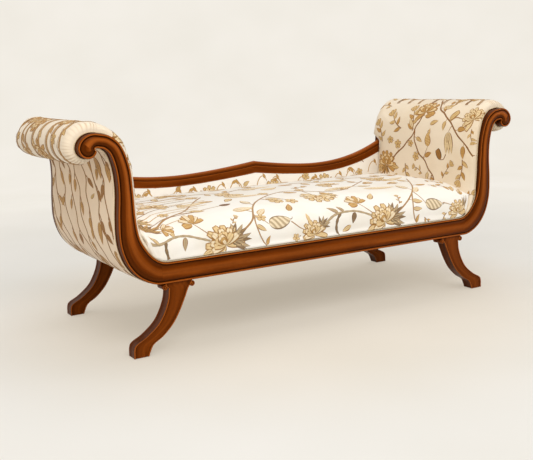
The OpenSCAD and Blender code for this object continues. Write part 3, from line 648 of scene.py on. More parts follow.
def wood_material(name, dark, mid, light, groove, glow, seed=0.0):
    """Polished hardwood: grain along U, pores, slow colour change, painted shade in the grooves and on the
    sides, and painted highlights on beads and crowns.
    """
    m, nt, bsdf = material(name)
    uv, here = uv_place(nt), object_place(nt)
    lengthways = scaled(nt, uv, (3.0, 38.0, 1.0), (seed, seed * 1.7, seed))
    grain = noise(nt, lengthways, 1.6, 8.0, Roughness=0.62, Distortion=0.6)
    wave = node(nt, "ShaderNodeTexWave", Scale=0.35, Distortion=6.0, Detail=3.0, bands_direction="Y")
    link(nt, lengthways, wave.inputs["Vector"])
    both = math_node(nt, "ADD", math_node(nt, "MULTIPLY", grain, 0.86),
                     math_node(nt, "MULTIPLY", wave.outputs[1], 0.14))
    pore = noise(nt, scaled(nt, uv, (40.0, 900.0, 1.0)), 1.0, 2.0, Roughness=0.5)
    pores = color_ramp(nt, [(0.30, (0.45, 0.45, 0.45, 1)), (0.42, (1, 1, 1, 1))], pore)
    slow = noise(nt, here, 2.6, 2.0)
    tone = color_ramp(nt, [(0.35, (0.80, 0.76, 0.70, 1)), (0.65, (1.10, 1.08, 1.04, 1))], slow)
    col = color_ramp(nt, [(0.25, dark), (0.50, mid), (0.78, light)], both)
    col = mix_color(nt, 0.35, col, pores, "MULTIPLY")
    col = mix_color(nt, 0.8, col, tone, "MULTIPLY")
    wobble = math_node(nt, "MULTIPLY_ADD", noise(nt, here, 60.0, 4.0), 0.5, 0.75)
    # Painted light from the value per vertex: above 0 it mixes in the glow colour as a painted highlight,
    # below 0 the groove colour as painted shade
    painted_light_fac = math_node(nt, "MULTIPLY", value_at(nt, "painted_light").outputs["Fac"], wobble)
    raised = math_node(nt, "MULTIPLY", painted_light_fac, 0.75, clamp=True)
    painted_shade_fac = math_node(nt, "MULTIPLY", painted_light_fac, -0.85, clamp=True)
    col = mix_color(nt, painted_shade_fac, mix_color(nt, raised, col, glow), groove)
    link(nt, col, bsdf.inputs["Base Color"])
    rough = math_node(nt, "MULTIPLY_ADD", grain, 0.12, 0.15)
    rough = math_node(nt, "ADD", rough, math_node(nt, "MULTIPLY", painted_shade_fac, 0.3))
    link(nt, rough, bsdf.inputs["Roughness"])
    link(nt, bump(nt, pore, 0.18, 0.0002, bump(nt, both, 0.12, 0.0006)), bsdf.inputs["Normal"])
    set_sockets(bsdf, {"Coat Weight": 0.02, "Coat Roughness": 0.1, "Specular IOR Level": 0.07,
                       "Specular Tint": (1.0, 0.52, 0.16, 1)})
    return m


# Colours of the show wood: its grain, then the painted shade (groove) and the painted highlight (glow)
show_wood = wood_material("show_wood_finish", dark=srgb(86, 36, 4), mid=srgb(110, 49, 7),
                          light=srgb(132, 63, 12), groove=srgb(24, 8, 1), glow=srgb(196, 106, 40))
plain_wood = wood_material("frame_wood_finish", dark=srgb(168, 128, 84), mid=srgb(196, 158, 110),
                           light=srgb(214, 180, 134), groove=srgb(120, 90, 60), glow=srgb(220, 190, 150),
                           seed=4.0)
# The painted shade's colour in the depth of a cloth's gathers
FOLD_PAINTED_SHADE = srgb(176, 132, 78)


def cloth_material(name, base, dark, weave=1.0, sheen=0.35, rough=0.55):
    """Tightly woven silk: fine warp and weft, slubs, a soft sheen and slow changes of tone."""
    m, nt, bsdf = material(name)
    here = object_place(nt)
    slow = noise(nt, here, 5.0, 3.0)
    slub = noise(nt, scaled(nt, here, (30.0, 30.0, 900.0)), 1.0, 3.0)
    warp = noise(nt, scaled(nt, here, (1100.0, 1100.0, 40.0)), 1.0, 1.0)
    threads = math_node(nt, "MULTIPLY", slub, warp)
    tone = math_node(nt, "MULTIPLY_ADD", threads, 0.5, math_node(nt, "MULTIPLY", slow, 0.9))
    col = color_ramp(nt, [(0.35, dark), (0.62, base)], tone)
    # Painted shade: the gathers are darker in their depth, by the share below 0 of the value per vertex
    deep = math_node(nt, "MULTIPLY", value_at(nt, "painted_light").outputs["Fac"], -1.0, clamp=True)
    link(nt, mix_color(nt, deep, col, FOLD_PAINTED_SHADE), bsdf.inputs["Base Color"])
    set_sockets(bsdf, {"Roughness": rough, "Sheen Weight": sheen, "Sheen Roughness": 0.4,
                       "Specular IOR Level": 0.35})
    link(nt, bump(nt, threads, 0.25 * weave, 0.0003), bsdf.inputs["Normal"])
    return m


silk = cloth_material("ivory_silk", srgb(248, 243, 234), srgb(242, 234, 220))
# The same ivory silk made darker and warmer as painted shade, for the arms and the back's outside, and more
# so for the outside panels
silk_painted_shade = cloth_material("ivory_silk_painted_shade", srgb(237, 220, 195), srgb(228, 207, 176))
silk_painted_deep_shade = cloth_material("ivory_silk_painted_deep_shade", srgb(240, 216, 186), srgb(229, 200, 166))
black_cloth = cloth_material("black_cloth", srgb(44, 43, 44), srgb(30, 30, 32), weave=2.0, sheen=0.1,
                             rough=0.9)
hessian = cloth_material("hessian_cloth", srgb(176, 146, 100), srgb(140, 112, 72), weave=4.0, sheen=0.1,
                         rough=0.95)
foam = cloth_material("filling_wadding", srgb(238, 231, 212), srgb(226, 216, 190), weave=3.0, sheen=0.1,
                      rough=0.95)


def metal_material(name, colour):
    m, nt, bsdf = material(name)
    fine = noise(nt, object_place(nt), 180.0, 4.0)
    col = color_ramp(nt, [(0.3, tuple(c * 0.7 for c in colour[:3]) + (1,)), (0.7, colour)], fine)
    link(nt, col, bsdf.inputs["Base Color"])
    link(nt, math_node(nt, "MULTIPLY_ADD", fine, 0.3, 0.25), bsdf.inputs["Roughness"])
    set_sockets(bsdf, {"Metallic": 1.0})
    return m


steel = metal_material("bright_steel", srgb(170, 170, 172))
# Turns of a cord's strands: along U in radians per metre, and round V
STRAND_U, STRAND_V = 1500.0, 6.283


def cord_material(name, colour, dark):
    """Twisted cord: slanting strands along U."""
    m, nt, bsdf = material(name)
    sep = node(nt, "ShaderNodeSeparateXYZ")
    link(nt, uv_place(nt), sep.inputs[0])
    t = math_node(nt, "ADD", math_node(nt, "MULTIPLY", sep.outputs[0], STRAND_U),
                  math_node(nt, "MULTIPLY", sep.outputs[1], STRAND_V))
    wave = math_node(nt, "MULTIPLY_ADD", math_node(nt, "SINE", t), 0.5, 0.5)
    link(nt, color_ramp(nt, [(0.2, dark), (0.6, colour)], wave), bsdf.inputs["Base Color"])
    set_sockets(bsdf, {"Roughness": 0.6})
    link(nt, bump(nt, wave, 0.5, 0.0006), bsdf.inputs["Normal"])
    return m


cord_finish = cord_material("gimp_cord", srgb(236, 220, 186), srgb(178, 142, 92))


def dress(ob, mat):
    ob.data.materials.clear()
    ob.data.materials.append(mat)
    return ob


# Wood pieces
def show(ob, part):
    return dress(ridden(ob, "show_wood", part), show_wood)


for side, word in ((-1, "left"), (1, "right")):
    show(scroll_piece("carved_scroll_" + word, side), "front_scroll_" + word)
    show(scroll_piece("plain_scroll_" + word, side, True), "back_scroll_" + word)
    show(leg_piece("sabre_leg_front_" + word, side, front_leg_y), "leg_front_" + word)
    show(leg_piece("sabre_leg_back_" + word, side, back_leg_y), "leg_back_" + word)
show(rail_piece("moulded_rail"), "front_rail")
show(crest_piece("crest_moulding"), "crest_rail")

# The CAD's own solids that stay
node_mats = {"show_wood": show_wood, "frame_wood": plain_wood, "steel": steel, "twine": hessian,
             "hessian": hessian, "dust_cloth": black_cloth, "filling": foam, "cover_cloth": silk,
             "trim_cord": cord_finish}
slots = {s["node"]: s["material_slot"] for s in frame["record"]["subparts"]}
for name, ob in frame["nodes"].items():
    for ms in ob.material_slots:
        ms.link = "OBJECT"
        ms.material = node_mats[slots[name]]

# Upholstery: surfaces as functions of two lengths, so that cloth and embroidery share them.
# The padding of an arm: w along its edge, and the share of its full thickness
pad_rows = [(0.09, 0.00), (0.16, 0.20), (0.24, 0.42), (0.34, 0.60), (0.45, 0.68), (0.60, 0.64), (0.69, 0.64),
            (0.80, 0.74), (0.90, 0.88), (1.00, 0.97), (1.12, 1.00), (1.44, 0.92), (1.60, 0.76), (1.75, 0.57),
            (1.89, 0.33), (2.00, 0.10)]


def pad_at(w):
    return pad_top * np.interp(w, [r[0] for r in pad_rows], [r[1] for r in pad_rows])


def edge_at(w):
    """Point on the frame's inner edge and the way out from it, w from 0 at the joint to 2 in the throat."""
    if w <= 1:
        return along_band(w, top_line), unit(along_band(w, up_line))
    a = mix(volute_start_a, volute_end_a, w - 1)
    blend = ramp((w - 1) / 0.12)
    return volute_edge(a), unit(mix(up_line[-1], spoke(a), blend))


seat_front_y = front_y + moulding_h / 2


def arm_from_y(w):
    on_wood = front_crown_y + mix(reveal_stile, reveal_volute, ramp((w - 0.66) / 0.34))
    return mix(seat_front_y, on_wood, ramp((w - 0.12) / 0.34))


arm_back_y = back_in_y - soft_gap
arm_low_back_y = crest_y - 2.0
reveal_back, roll_turn = 3.0, 0.35
# Where across the arm its roll begins to grow slimmer and to hang, and over how much of it, in mm
SLIM_FROM, SLIM_OVER, HANG_FROM, HANG_OVER = 40, 280, -60, 340


def arm_to_y(w):
    over_wood = mix(back_y - reveal_back, arm_back_y, ramp((w - 1) / roll_turn))
    return mix(arm_low_back_y, over_wood, ramp((w - 0.60) / 0.05))


def round_prof(s):
    s = min(1.0, max(0.0, s))
    return (1 - (1 - s) ** 2.5) ** 0.4


def arm_ends(w):
    """Where an arm's cover begins and ends across the arm at w."""
    return arm_from_y(w), arm_to_y(w)


arm_w0, pattern_w0 = 0.06, 6 / CAD_BAND
arm_ws = np.concatenate([np.linspace(arm_w0, 1.0, 104), np.linspace(1.0, 2.0, 166)[1:]])
# The gathers round the volute: how many, how deep in mm, their painted shade, and where along the arm they
# begin
PLEATS, PLEAT_DEPTH, PLEAT_PAINTED_SHADE, PLEAT_W = 31, 3.2, -0.85, 0.95
# The roll's back end is slimmer, hangs lower and is rounded more than its front end
ROLL_DROP, ROLL_SLIM, ROUND_FLAT, ROUND_ROLL = 7.0, 0.34, 0.6, 1.75
# What is tacked: this share of the rounding at the edges, and the end in the throat
HELD, HELD_W = 0.05, 1.9


def pleat_at(w, s):
    """How deep the gathers round the volute are, from 0 to 1, s being the share of the way over the edge."""
    ang = math.radians((w - 1) * (volute_start_a - volute_end_a))
    fade = ramp((w - PLEAT_W) / 0.1) * math.sin(math.pi * min(1, max(0, s)) ** 0.6)
    deep = (0.16 + 0.84 * math.cos(ang) ** 2) * (0.8 + 0.2 * math.sin(ang * 9.3 + 1.1))
    wave = math.cos(ang * PLEATS + 2.2 * math.sin(ang * 2.7) + 0.9 * math.sin(ang * 6.1))
    return fade * deep * (0.5 + 0.5 * wave) ** 3


def arm_point(w, v):
    """v from 0 at the front edge of an arm's cover to 1 at its back edge. Millimetres, right side."""
    y0, y1 = arm_ends(w)
    y = mix(y0, y1, v)
    turned = ramp((w - 1) / roll_turn)
    s = min((y - y0) / roll_round, (y1 - y) / (roll_round * mix(ROUND_FLAT, ROUND_ROLL, turned)))
    p, n = edge_at(w)
    slim = 1 - ROLL_SLIM * turned * ramp((y - SLIM_FROM) / SLIM_OVER)
    d = soft_gap + cover_t + pad_at(w) * slim * round_prof(s)
    if w > PLEAT_W and s < 1:
        d -= min(0.5 * d, PLEAT_DEPTH * pleat_at(w, s))
    q = p + n * d
    return vec(q[0], y, q[1] - ROLL_DROP * turned * ramp((y - HANG_FROM) / HANG_OVER))


def arm_vs(w):
    """Stations across an arm's cover, close together where it rounds."""
    y0, y1 = arm_ends(w)
    part = roll_round / (y1 - y0)
    near = [roll_round * f / (y1 - y0) for f in (0, 0.012, 0.035, 0.07, 0.12, 0.18, 0.26, 0.36, 0.48, 0.62,
                                                 0.8)]
    return near + list(np.linspace(part, 1 - part, 56)) + [1 - t for t in near[::-1]]


def metres(p, side=1):
    """A point in millimetres on the right side, in metres on the given side."""
    return (side * p[0] * MM, p[1] * MM, p[2] * MM)


def arm_cushion(name, side):
    rows, painted_light = [], []
    for w in arm_ws:
        rows.append([arm_point(w, v) for v in arm_vs(w)])
        y0, y1 = arm_ends(w)
        for p in rows[-1]:
            # Painted shade in the depth of the gathers
            painted_light.append(PLEAT_PAINTED_SHADE * pleat_at(w, min(p[1] - y0, y1 - p[1]) / roll_round)
                        if w > PLEAT_W else 0.0)
    verts = [metres(p, side) for r in rows for p in r]
    # The inner side lies on the frame, so that the cushion is a closed form
    for w, r in zip(arm_ws, rows):
        p, n = edge_at(w)
        q = p + n * soft_gap
        verts += [metres((q[0], c[1], q[1]), side) for c in r]
    return new_mesh(name, verts, slab(len(rows), len(rows[0])), None, painted_light + [0.0] * len(painted_light), CLOTH_SHARP)


def arm_tacked():
    """Which points of an arm cushion are held: its underside, its edges and the pleats round the volute."""
    held = []
    for w in arm_ws:
        y0, y1 = arm_ends(w)
        for v in arm_vs(w):
            y = mix(y0, y1, v)
            s = min(y - y0, y1 - y) / roll_round
            held.append(s < HELD or w < pattern_w0 or w > HELD_W or (w > PLEAT_W and s < 1))
    return np.array(held + [True] * len(held))


# The seat: shares of the way across and up, from the front edge over the crown to the back
seat_shares = [(0.004, 0.00), (0.001, 0.18), (0.000, 0.36), (0.010, 0.55), (0.040, 0.73), (0.105, 0.86),
               (0.22, 0.94), (0.42, 0.99), (0.60, 1.00), (0.78, 0.985), (0.92, 0.95), (0.985, 0.88),
               (1.00, 0.5), (1.00, 0.00)]
seat_sec = spline([vec(*s) for s in seat_shares], 7, (0.006, -0.15))
seat_end_w = 10 / CAD_BAND
seat_back_y = crest_y - back_swell - soft_gap


def seat_side(w):
    p, n = edge_at(w)
    q = p + n * (pad_at(w) + cover_t + 3 * soft_gap)
    return q[0], q[1] + soft_gap


side_rows = np.array([seat_side(w) for w in np.linspace(0, seat_end_w, 40)])
seat_reach = side_rows[-1][0]
seat_end_low = side_rows[-1][1] + 3 * cover_t


def seat_low(x):
    x = abs(x)
    if x <= half_l:
        return rail_top_z + rail_rise(x) + 2 * soft_gap
    return np.interp(x, side_rows[:, 0], side_rows[:, 1])


corner_z, corner_x, corner_share = rail_top_z + 80, 600.0, 0.25
corner_reach = np.interp(corner_z, side_rows[:, 1], side_rows[:, 0])
# How far the corners lean to the right and over what length, and how squarely the seat's ends turn down
SEAT_LEAN, LEAN_OVER, SEAT_SQUARE, CORNER_SQUARE = 7.0, 120, 6, 4.6
# From here to its ends the front edge steps back
STEP_X, STEP_BACK = 735, 18


def seat_point(x, share):
    """A point of the seat: x along it, share across and up it. Its front corners are drawn down."""
    u = abs(x)
    front = 1 - ramp(share[0] / corner_share)
    reach = mix(seat_reach, corner_reach, front)
    at = u if u < corner_x else corner_x + (u - corner_x) * (reach - corner_x) / (seat_reach - corner_x)
    at += math.copysign(SEAT_LEAN, x) * front * ramp((u - corner_x) / LEAN_OVER)
    box = mix(SEAT_SQUARE, CORNER_SQUARE, front)
    t = max(0.0, 1 - (u / seat_reach) ** box) ** (1 / box)
    hi = mix(mix(seat_end_low, corner_z + 3 * cover_t, front), rail_top_z + seat_crown, t)
    yf = seat_front_y + STEP_BACK * max(0.0, (u - STEP_X) / (seat_reach - STEP_X)) ** 2.4
    return vec(math.copysign(at, x), mix(yf, seat_back_y, share[0]), mix(seat_low(at), hi, share[1]))


def seat_cushion(name):
    xs_in = list(np.linspace(0, half_l, 46))
    xs_out = [half_l + (seat_reach - half_l) * math.sin(math.pi / 2 * k / 16) for k in range(1, 17)]
    xs = [-x for x in xs_out[::-1]] + [-x for x in xs_in[:0:-1]] + xs_in + xs_out
    verts = [tuple(seat_point(x, s) * MM) for x in xs for s in seat_sec]
    return new_mesh(name, verts, tube(len(xs), len(seat_sec)), None, None, SEAT_SHARP), xs


def rest_points(ob):
    co = np.empty(len(ob.data.vertices) * 3, np.float32)
    ob.data.vertices.foreach_get("co", co)
    return co.reshape(-1, 3)


def set_points(ob, co):
    ob.data.vertices.foreach_set("co", co.astype(np.float32).ravel())
    ob.data.update()


CLOTH_FRAMES = 20


def blow_up(ob, tacked, cap, pressure, slack):
    """Blows a cushion's cloth up, held where it is tacked. No point moves further than cap, in metres."""
    scene = bpy.context.scene
    copy = bpy.data.objects.new(ob.name + "_cloth", ob.data.copy())
    scene.collection.objects.link(copy)
    group = copy.vertex_groups.new(name="tacked")
    group.add([int(i) for i in np.flatnonzero(tacked)], 1.0, "REPLACE")
    mod = copy.modifiers.new("cloth", "CLOTH")
    cloth = mod.settings
    cloth.quality = 5
    cloth.mass = 0.3
    cloth.tension_stiffness = cloth.compression_stiffness = 12
    cloth.shear_stiffness = 4
    cloth.bending_stiffness = 0.4
    cloth.use_pressure = True
    cloth.uniform_pressure_force = pressure
    cloth.shrink_min = -slack
    cloth.vertex_group_mass = group.name
    cloth.effector_weights.gravity = 0
    mod.collision_settings.use_collision = False
    mod.point_cache.frame_end = CLOTH_FRAMES
    for f in range(1, CLOTH_FRAMES + 1):
        scene.frame_set(f)
    start = rest_points(ob)
    end = rest_points(copy.evaluated_get(bpy.context.evaluated_depsgraph_get()))
    move = end - start
    size = np.maximum(np.linalg.norm(move, axis=1, keepdims=True), 1e-9)
    move *= np.minimum(1.0, cap * np.tanh(size / cap) / size)
    set_points(ob, start + move)
    bpy.data.objects.remove(copy)
    scene.frame_set(1)


def smooth_out(ob):
    """Divides a cushion's mesh once, evenly."""
    ob.modifiers.new("smooth", "SUBSURF").levels = 1
    graph = bpy.context.evaluated_depsgraph_get()
    fine = bpy.data.meshes.new_from_object(ob.evaluated_get(graph), preserve_all_data_layers=True,
                                           depsgraph=graph)
    ob.modifiers.clear()
    ob.data = fine


# The seat's tucks in mm: where they begin, over what length, how wide and deep one is, and a pull's depth.
# Both are deepest at this share of the front's height, and fade over that one.
TUCK_X, TUCK_OVER, TUCK_WIDE, TUCK_DEEP, PULL_DEEP = 700, 60, 4.4, 2.6, 1.3
TUCK_TOP, TUCK_FADE, TUCK_SEED, FRONT_SHARE = 0.10, 0.45, 5, 0.2


def tuck_seat(ob, xs):
    """Small pulls along the tacked front edge, and tucks where the cloth turns each front corner."""
    n = len(seat_sec)
    co = rest_points(ob)
    rng = random.Random(TUCK_SEED)
    phase = [rng.uniform(0, 6.28) for _ in range(3)]
    for i, x in enumerate(xs):
        pull = 0.5 + 0.25 * math.sin(x / 11 + phase[0]) + 0.25 * math.sin(x / 17.3 + phase[1])
        corner = ramp((abs(x) - TUCK_X) / TUCK_OVER)
        fold = corner * (0.5 + 0.5 * math.cos((abs(x) - TUCK_X) / TUCK_WIDE)) ** 2
        for j, share in enumerate(seat_sec):
            if share[0] > FRONT_SHARE:
                continue
            up = max(0.0, share[1])
            near = up / TUCK_TOP if up < TUCK_TOP else max(0.0, 1 - (up - TUCK_TOP) / TUCK_FADE)
            co[i * n + j][1] += MM * near * (PULL_DEEP * pull * (1 - corner) + TUCK_DEEP * fold)
    set_points(ob, co)


# The panels' thickness in metres, and how far they swell in mm
OUT_THICK, IN_THICK = 1.5 * MM, 1.2 * MM
OUTER_PUFF, OUTER_ROUND, BACK_PUFF = 3.2, 30, 3.0


def panel_piece(name, rows, thick, out):
    """A stretched cloth panel: rows of points on its outer face, given thickness along out(row)."""
    verts = [tuple(p) for r in rows for p in r]
    verts += [tuple(vec(*p) - vec(*out(i)) * thick) for i, r in enumerate(rows) for p in r]
    return new_mesh(name, verts, slab(len(rows), len(rows[0])), None, None, CLOTH_SHARP)


outer_y0, outer_y1 = front_y + frame_t * 0.78, back_y - frame_t * 0.78
outer_w0 = 1 / CAD_BAND


def outer_edge_at(w):
    """Point on the frame's outer edge and the way out from it."""
    return along_band(w, low_line), -unit(along_band(w, up_line))


def outer_point(w, v):
    """The outside panel of an arm: w along the frame's outer edge, v from front to back."""
    p, n = outer_edge_at(w)
    y = mix(outer_y0, outer_y1, v)
    edge = min(v, 1 - v) * (outer_y1 - outer_y0)
    rise = math.sin(math.pi * min(1, max(0, (w - 0.03) / 0.97))) ** 0.35
    puff = OUTER_PUFF * round_prof(edge / OUTER_ROUND) * rise
    q = p + n * (soft_gap + cover_t + puff)
    return vec(q[0], y, q[1])


def outer_panel(name, side):
    ws = np.linspace(outer_w0, 1.0, 84)
    vs = [0, 0.006, 0.015, 0.03] + list(np.linspace(0.05, 0.95, 40)) + [0.97, 0.985, 0.994, 1]
    pts = [[metres(outer_point(w, v), side) for v in vs] for w in ws]

    def out(i):
        n = outer_edge_at(ws[i])[1]
        return (side * n[0], 0, n[1])
    return panel_piece(name, pts, OUT_THICK, out)


back_half = np.interp(12 / CAD_BAND, band_t, top_line[:, 0])
SWEEP = int(BN * 0.56)


def sweep_z(x):
    """Height of the scroll's inner edge at x, where it sweeps up from the rail."""
    return np.interp(abs(x), top_line[:SWEEP, 0], top_line[:SWEEP, 1])


def back_low(x):
    return rail_top_z + soft_gap if abs(x) <= half_l else sweep_z(x) + 2 * soft_gap


def back_point(x, t):
    """The inside of the back: t from the seat frame up to the crest rail."""
    lo, hi = back_low(x) + soft_gap, crest_low(x) - soft_gap
    swell = back_swell * (1 - (abs(x) / crest_end_x) ** 8)
    return vec(x, crest_y - swell * math.sin(math.pi * t) ** 0.8, mix(lo, hi, t))


def back_inside(name):
    xs = np.linspace(-back_half, back_half, 120)
    ts = np.linspace(0, 1, 22)
    rows = [[tuple(back_point(x, t) * MM) for t in ts] for x in xs]
    return panel_piece(name, rows, IN_THICK, lambda i: (0, -1, 0))


def back_out_point(x, t):
    """The outside of the back: t from the back rail up to the crest rail."""
    lo = (rail_top_z if abs(x) <= half_l else sweep_z(x)) + soft_gap
    hi = max(crest_low(x) - soft_gap, lo + 0.5)
    puff = BACK_PUFF * math.sin(math.pi * t) ** 0.5 * (1 - (abs(x) / crest_end_x) ** 12)
    return vec(x, crest_y + crest_t + soft_gap + cover_t + puff, mix(lo, hi, t))


def back_outside(name):
    end = back_half + 2.0
    xs = np.linspace(-end, end, 120)
    ts = [0, 0.01, 0.03, 0.07] + list(np.linspace(0.12, 0.88, 14)) + [0.93, 0.97, 0.99, 1]
    rows = [[tuple(back_out_point(x, t) * MM) for t in ts] for x in xs]
    return panel_piece(name, rows, OUT_THICK, lambda i: (0, 1, 0))


seat, seat_xs = seat_cushion("seat_upholstery")
seat_free = [0.08 < q[1] and q[0] < 0.985 for q in seat_sec]
seat_tacked = np.array([not (f and abs(x) < seat_reach - 1) for x in seat_xs for f in seat_free])
blow_up(seat, seat_tacked, cap=0.007, pressure=4.0, slack=0.004)
tuck_seat(seat, seat_xs)
smooth_out(seat)
ridden(seat, "cover_cloth", "seat_cover", "seat_padding")
dress(seat, silk)
arms, outers = {}, {}
for side, word in ((1, "right"), (-1, "left")):
    a = arm_cushion("arm_upholstery_" + word, side)
    if side > 0:
        blow_up(a, arm_tacked(), cap=0.004, pressure=4.0, slack=0.004)
        blown = rest_points(a)
    else:
        set_points(a, blown * np.array((-1, 1, 1), np.float32))
    ridden(a, "cover_cloth", "arm_cover_" + word, "arm_padding_" + word)
    dress(a, silk_painted_shade)
    arms[word] = a
    o = outer_panel("arm_outside_" + word, side)
    ridden(o, "cover_cloth", "arm_outer_cover_" + word)
    dress(o, silk_painted_deep_shade)
    outers[word] = o
back_in = back_inside("back_upholstery")
ridden(back_in, "cover_cloth", "back_cover_inside", "back_padding")
dress(back_in, silk)
back_out = back_outside("back_outside")
ridden(back_out, "cover_cloth", "back_cover_outside")
dress(back_out, silk_painted_shade)

# Edging cords: sides round them, a ring every so many mm, and the strands' twist in radians per mm
CORD_SIDES, CORD_STEP, CORD_TWIST = 12, 2.4, 0.42


def way_at(line, i):
    """The way a line of points runs at its point i."""
    return line[min(i + 1, len(line) - 1)] - line[max(i - 1, 0)]


def cord_piece(name, route, radius):
    """A twisted two-strand cord along a route in millimetres."""
    route = np.array(route, float)
    run = run_lengths(route)
    marks = np.linspace(0, run[-1], int(run[-1] / CORD_STEP) + 2)
    pts = [vec(*[np.interp(m, run, route[:, k]) for k in range(3)]) for m in marks]
    verts, uvs = [], []
    for i, p in enumerate(pts):
        d = unit(way_at(pts, i))
        a = unit(np.cross(d, vec(0.13, 0.9, 0.4)))
        b = np.cross(d, a)
        for k in range(CORD_SIDES):
            t = 2 * math.pi * k / CORD_SIDES
            r = radius * (0.84 + 0.16 * math.cos(2 * (t - CORD_TWIST * marks[i])))
            verts.append(tuple((p + r * (math.cos(t) * a + math.sin(t) * b)) * MM))
            uvs.append((marks[i] * MM, k / CORD_SIDES))
    return dress(new_mesh(name, verts, tube(len(pts), CORD_SIDES), uvs, None, CORD_SHARP), cord_finish)


def trim_y(w):
    return mix(seat_front_y, arm_from_y(w), ramp((w - 0.22) / 0.18)) - trim_r - soft_gap


def cord_route(side, ws, edge, off, y_at):
    """Along an edge of an arm's frame, off it by off."""
    pts = []
    for w in ws:
        p, n = edge(w)
        q = p + n * off
        pts.append((side * q[0], y_at(w), q[1]))
    return pts


def inner_route(side):
    """Along the front edge of an arm's cover, on the wood."""
    return cord_route(side, np.linspace(0, 2, 200), edge_at, trim_r + soft_gap, trim_y)


def outer_route(side, y, off):
    """Along an edge of an arm's outside panel."""
    return cord_route(side, np.linspace(outer_w0, 1.0, 90), outer_edge_at, off, lambda w: y)


# Embroidery: the threads' colours
def thread_colour(r, g, b):
    return srgb(r, g, b)[:3]


BROWN = thread_colour(152, 108, 58)
STEM = thread_colour(178, 138, 88)
UMBER = thread_colour(116, 82, 46)
GOLD = thread_colour(206, 164, 98)
DEEP = thread_colour(166, 120, 58)
LIGHT = thread_colour(228, 200, 146)
PALE = thread_colour(240, 222, 184)
GREY = thread_colour(140, 114, 80)
SAGE = thread_colour(190, 166, 126)


def shade(col, f):
    return tuple(c * f for c in col)


def heading(d):
    return math.degrees(math.atan2(d[1], d[0]))


# Across a leaf or petal: share of its half width, height in mm, and whose colour it has
LEAF_ROW = [(-1.0, 0.05, "edge"), (-0.86, 0.8, "edge"), (-0.74, 0.95, "edge"), (-0.64, 0.9, "body"),
            (-0.3, 1.0, "body"), (-0.07, 0.6, "body"), (0.0, 0.5, "vein"), (0.07, 0.6, "body"),
            (0.3, 1.0, "body"), (0.64, 0.9, "body"), (0.74, 0.95, "edge"), (0.86, 0.8, "edge"),
            (1.0, 0.05, "edge")]
# Across a stem and a pod: share of the half width and height, and a stem's brightness, a painted highlight
# along its middle and painted shade at its sides
STEM_ROW = [(-1.0, 0.05, 0.8), (-0.7, 0.8, 0.9), (0.0, 1.2, 1.08), (0.7, 0.8, 0.9), (1.0, 0.05, 0.8)]
POD_ROW = [(-1.0, 0.05), (-0.84, 0.9), (-0.78, 1.0), (-0.4, 1.5), (0.0, 1.7), (0.4, 1.5), (0.78, 1.0),
           (0.84, 0.9), (1.0, 0.05)]
LEAF_STEPS, POD_STEPS, EYE_SIDES, EYE_RINGS, STEM_STEP, THINNEST = 11, 19, 14, 4, 8, 0.3


def leaf_half(t, width, petal):
    """Half the width of a leaf or petal, t from its foot to its tip. A petal is broad near its round tip."""
    if not petal:
        return width / 2 * math.sin(math.pi * t ** 0.72) ** 0.85 if 0 < t < 1 else 0.0
    if t in (0, 1):
        return width * (0.32 if t else 0.04)
    return width / 2 * math.sqrt(max(0.0, 1 - ((t - 0.58) / 0.58) ** 2))


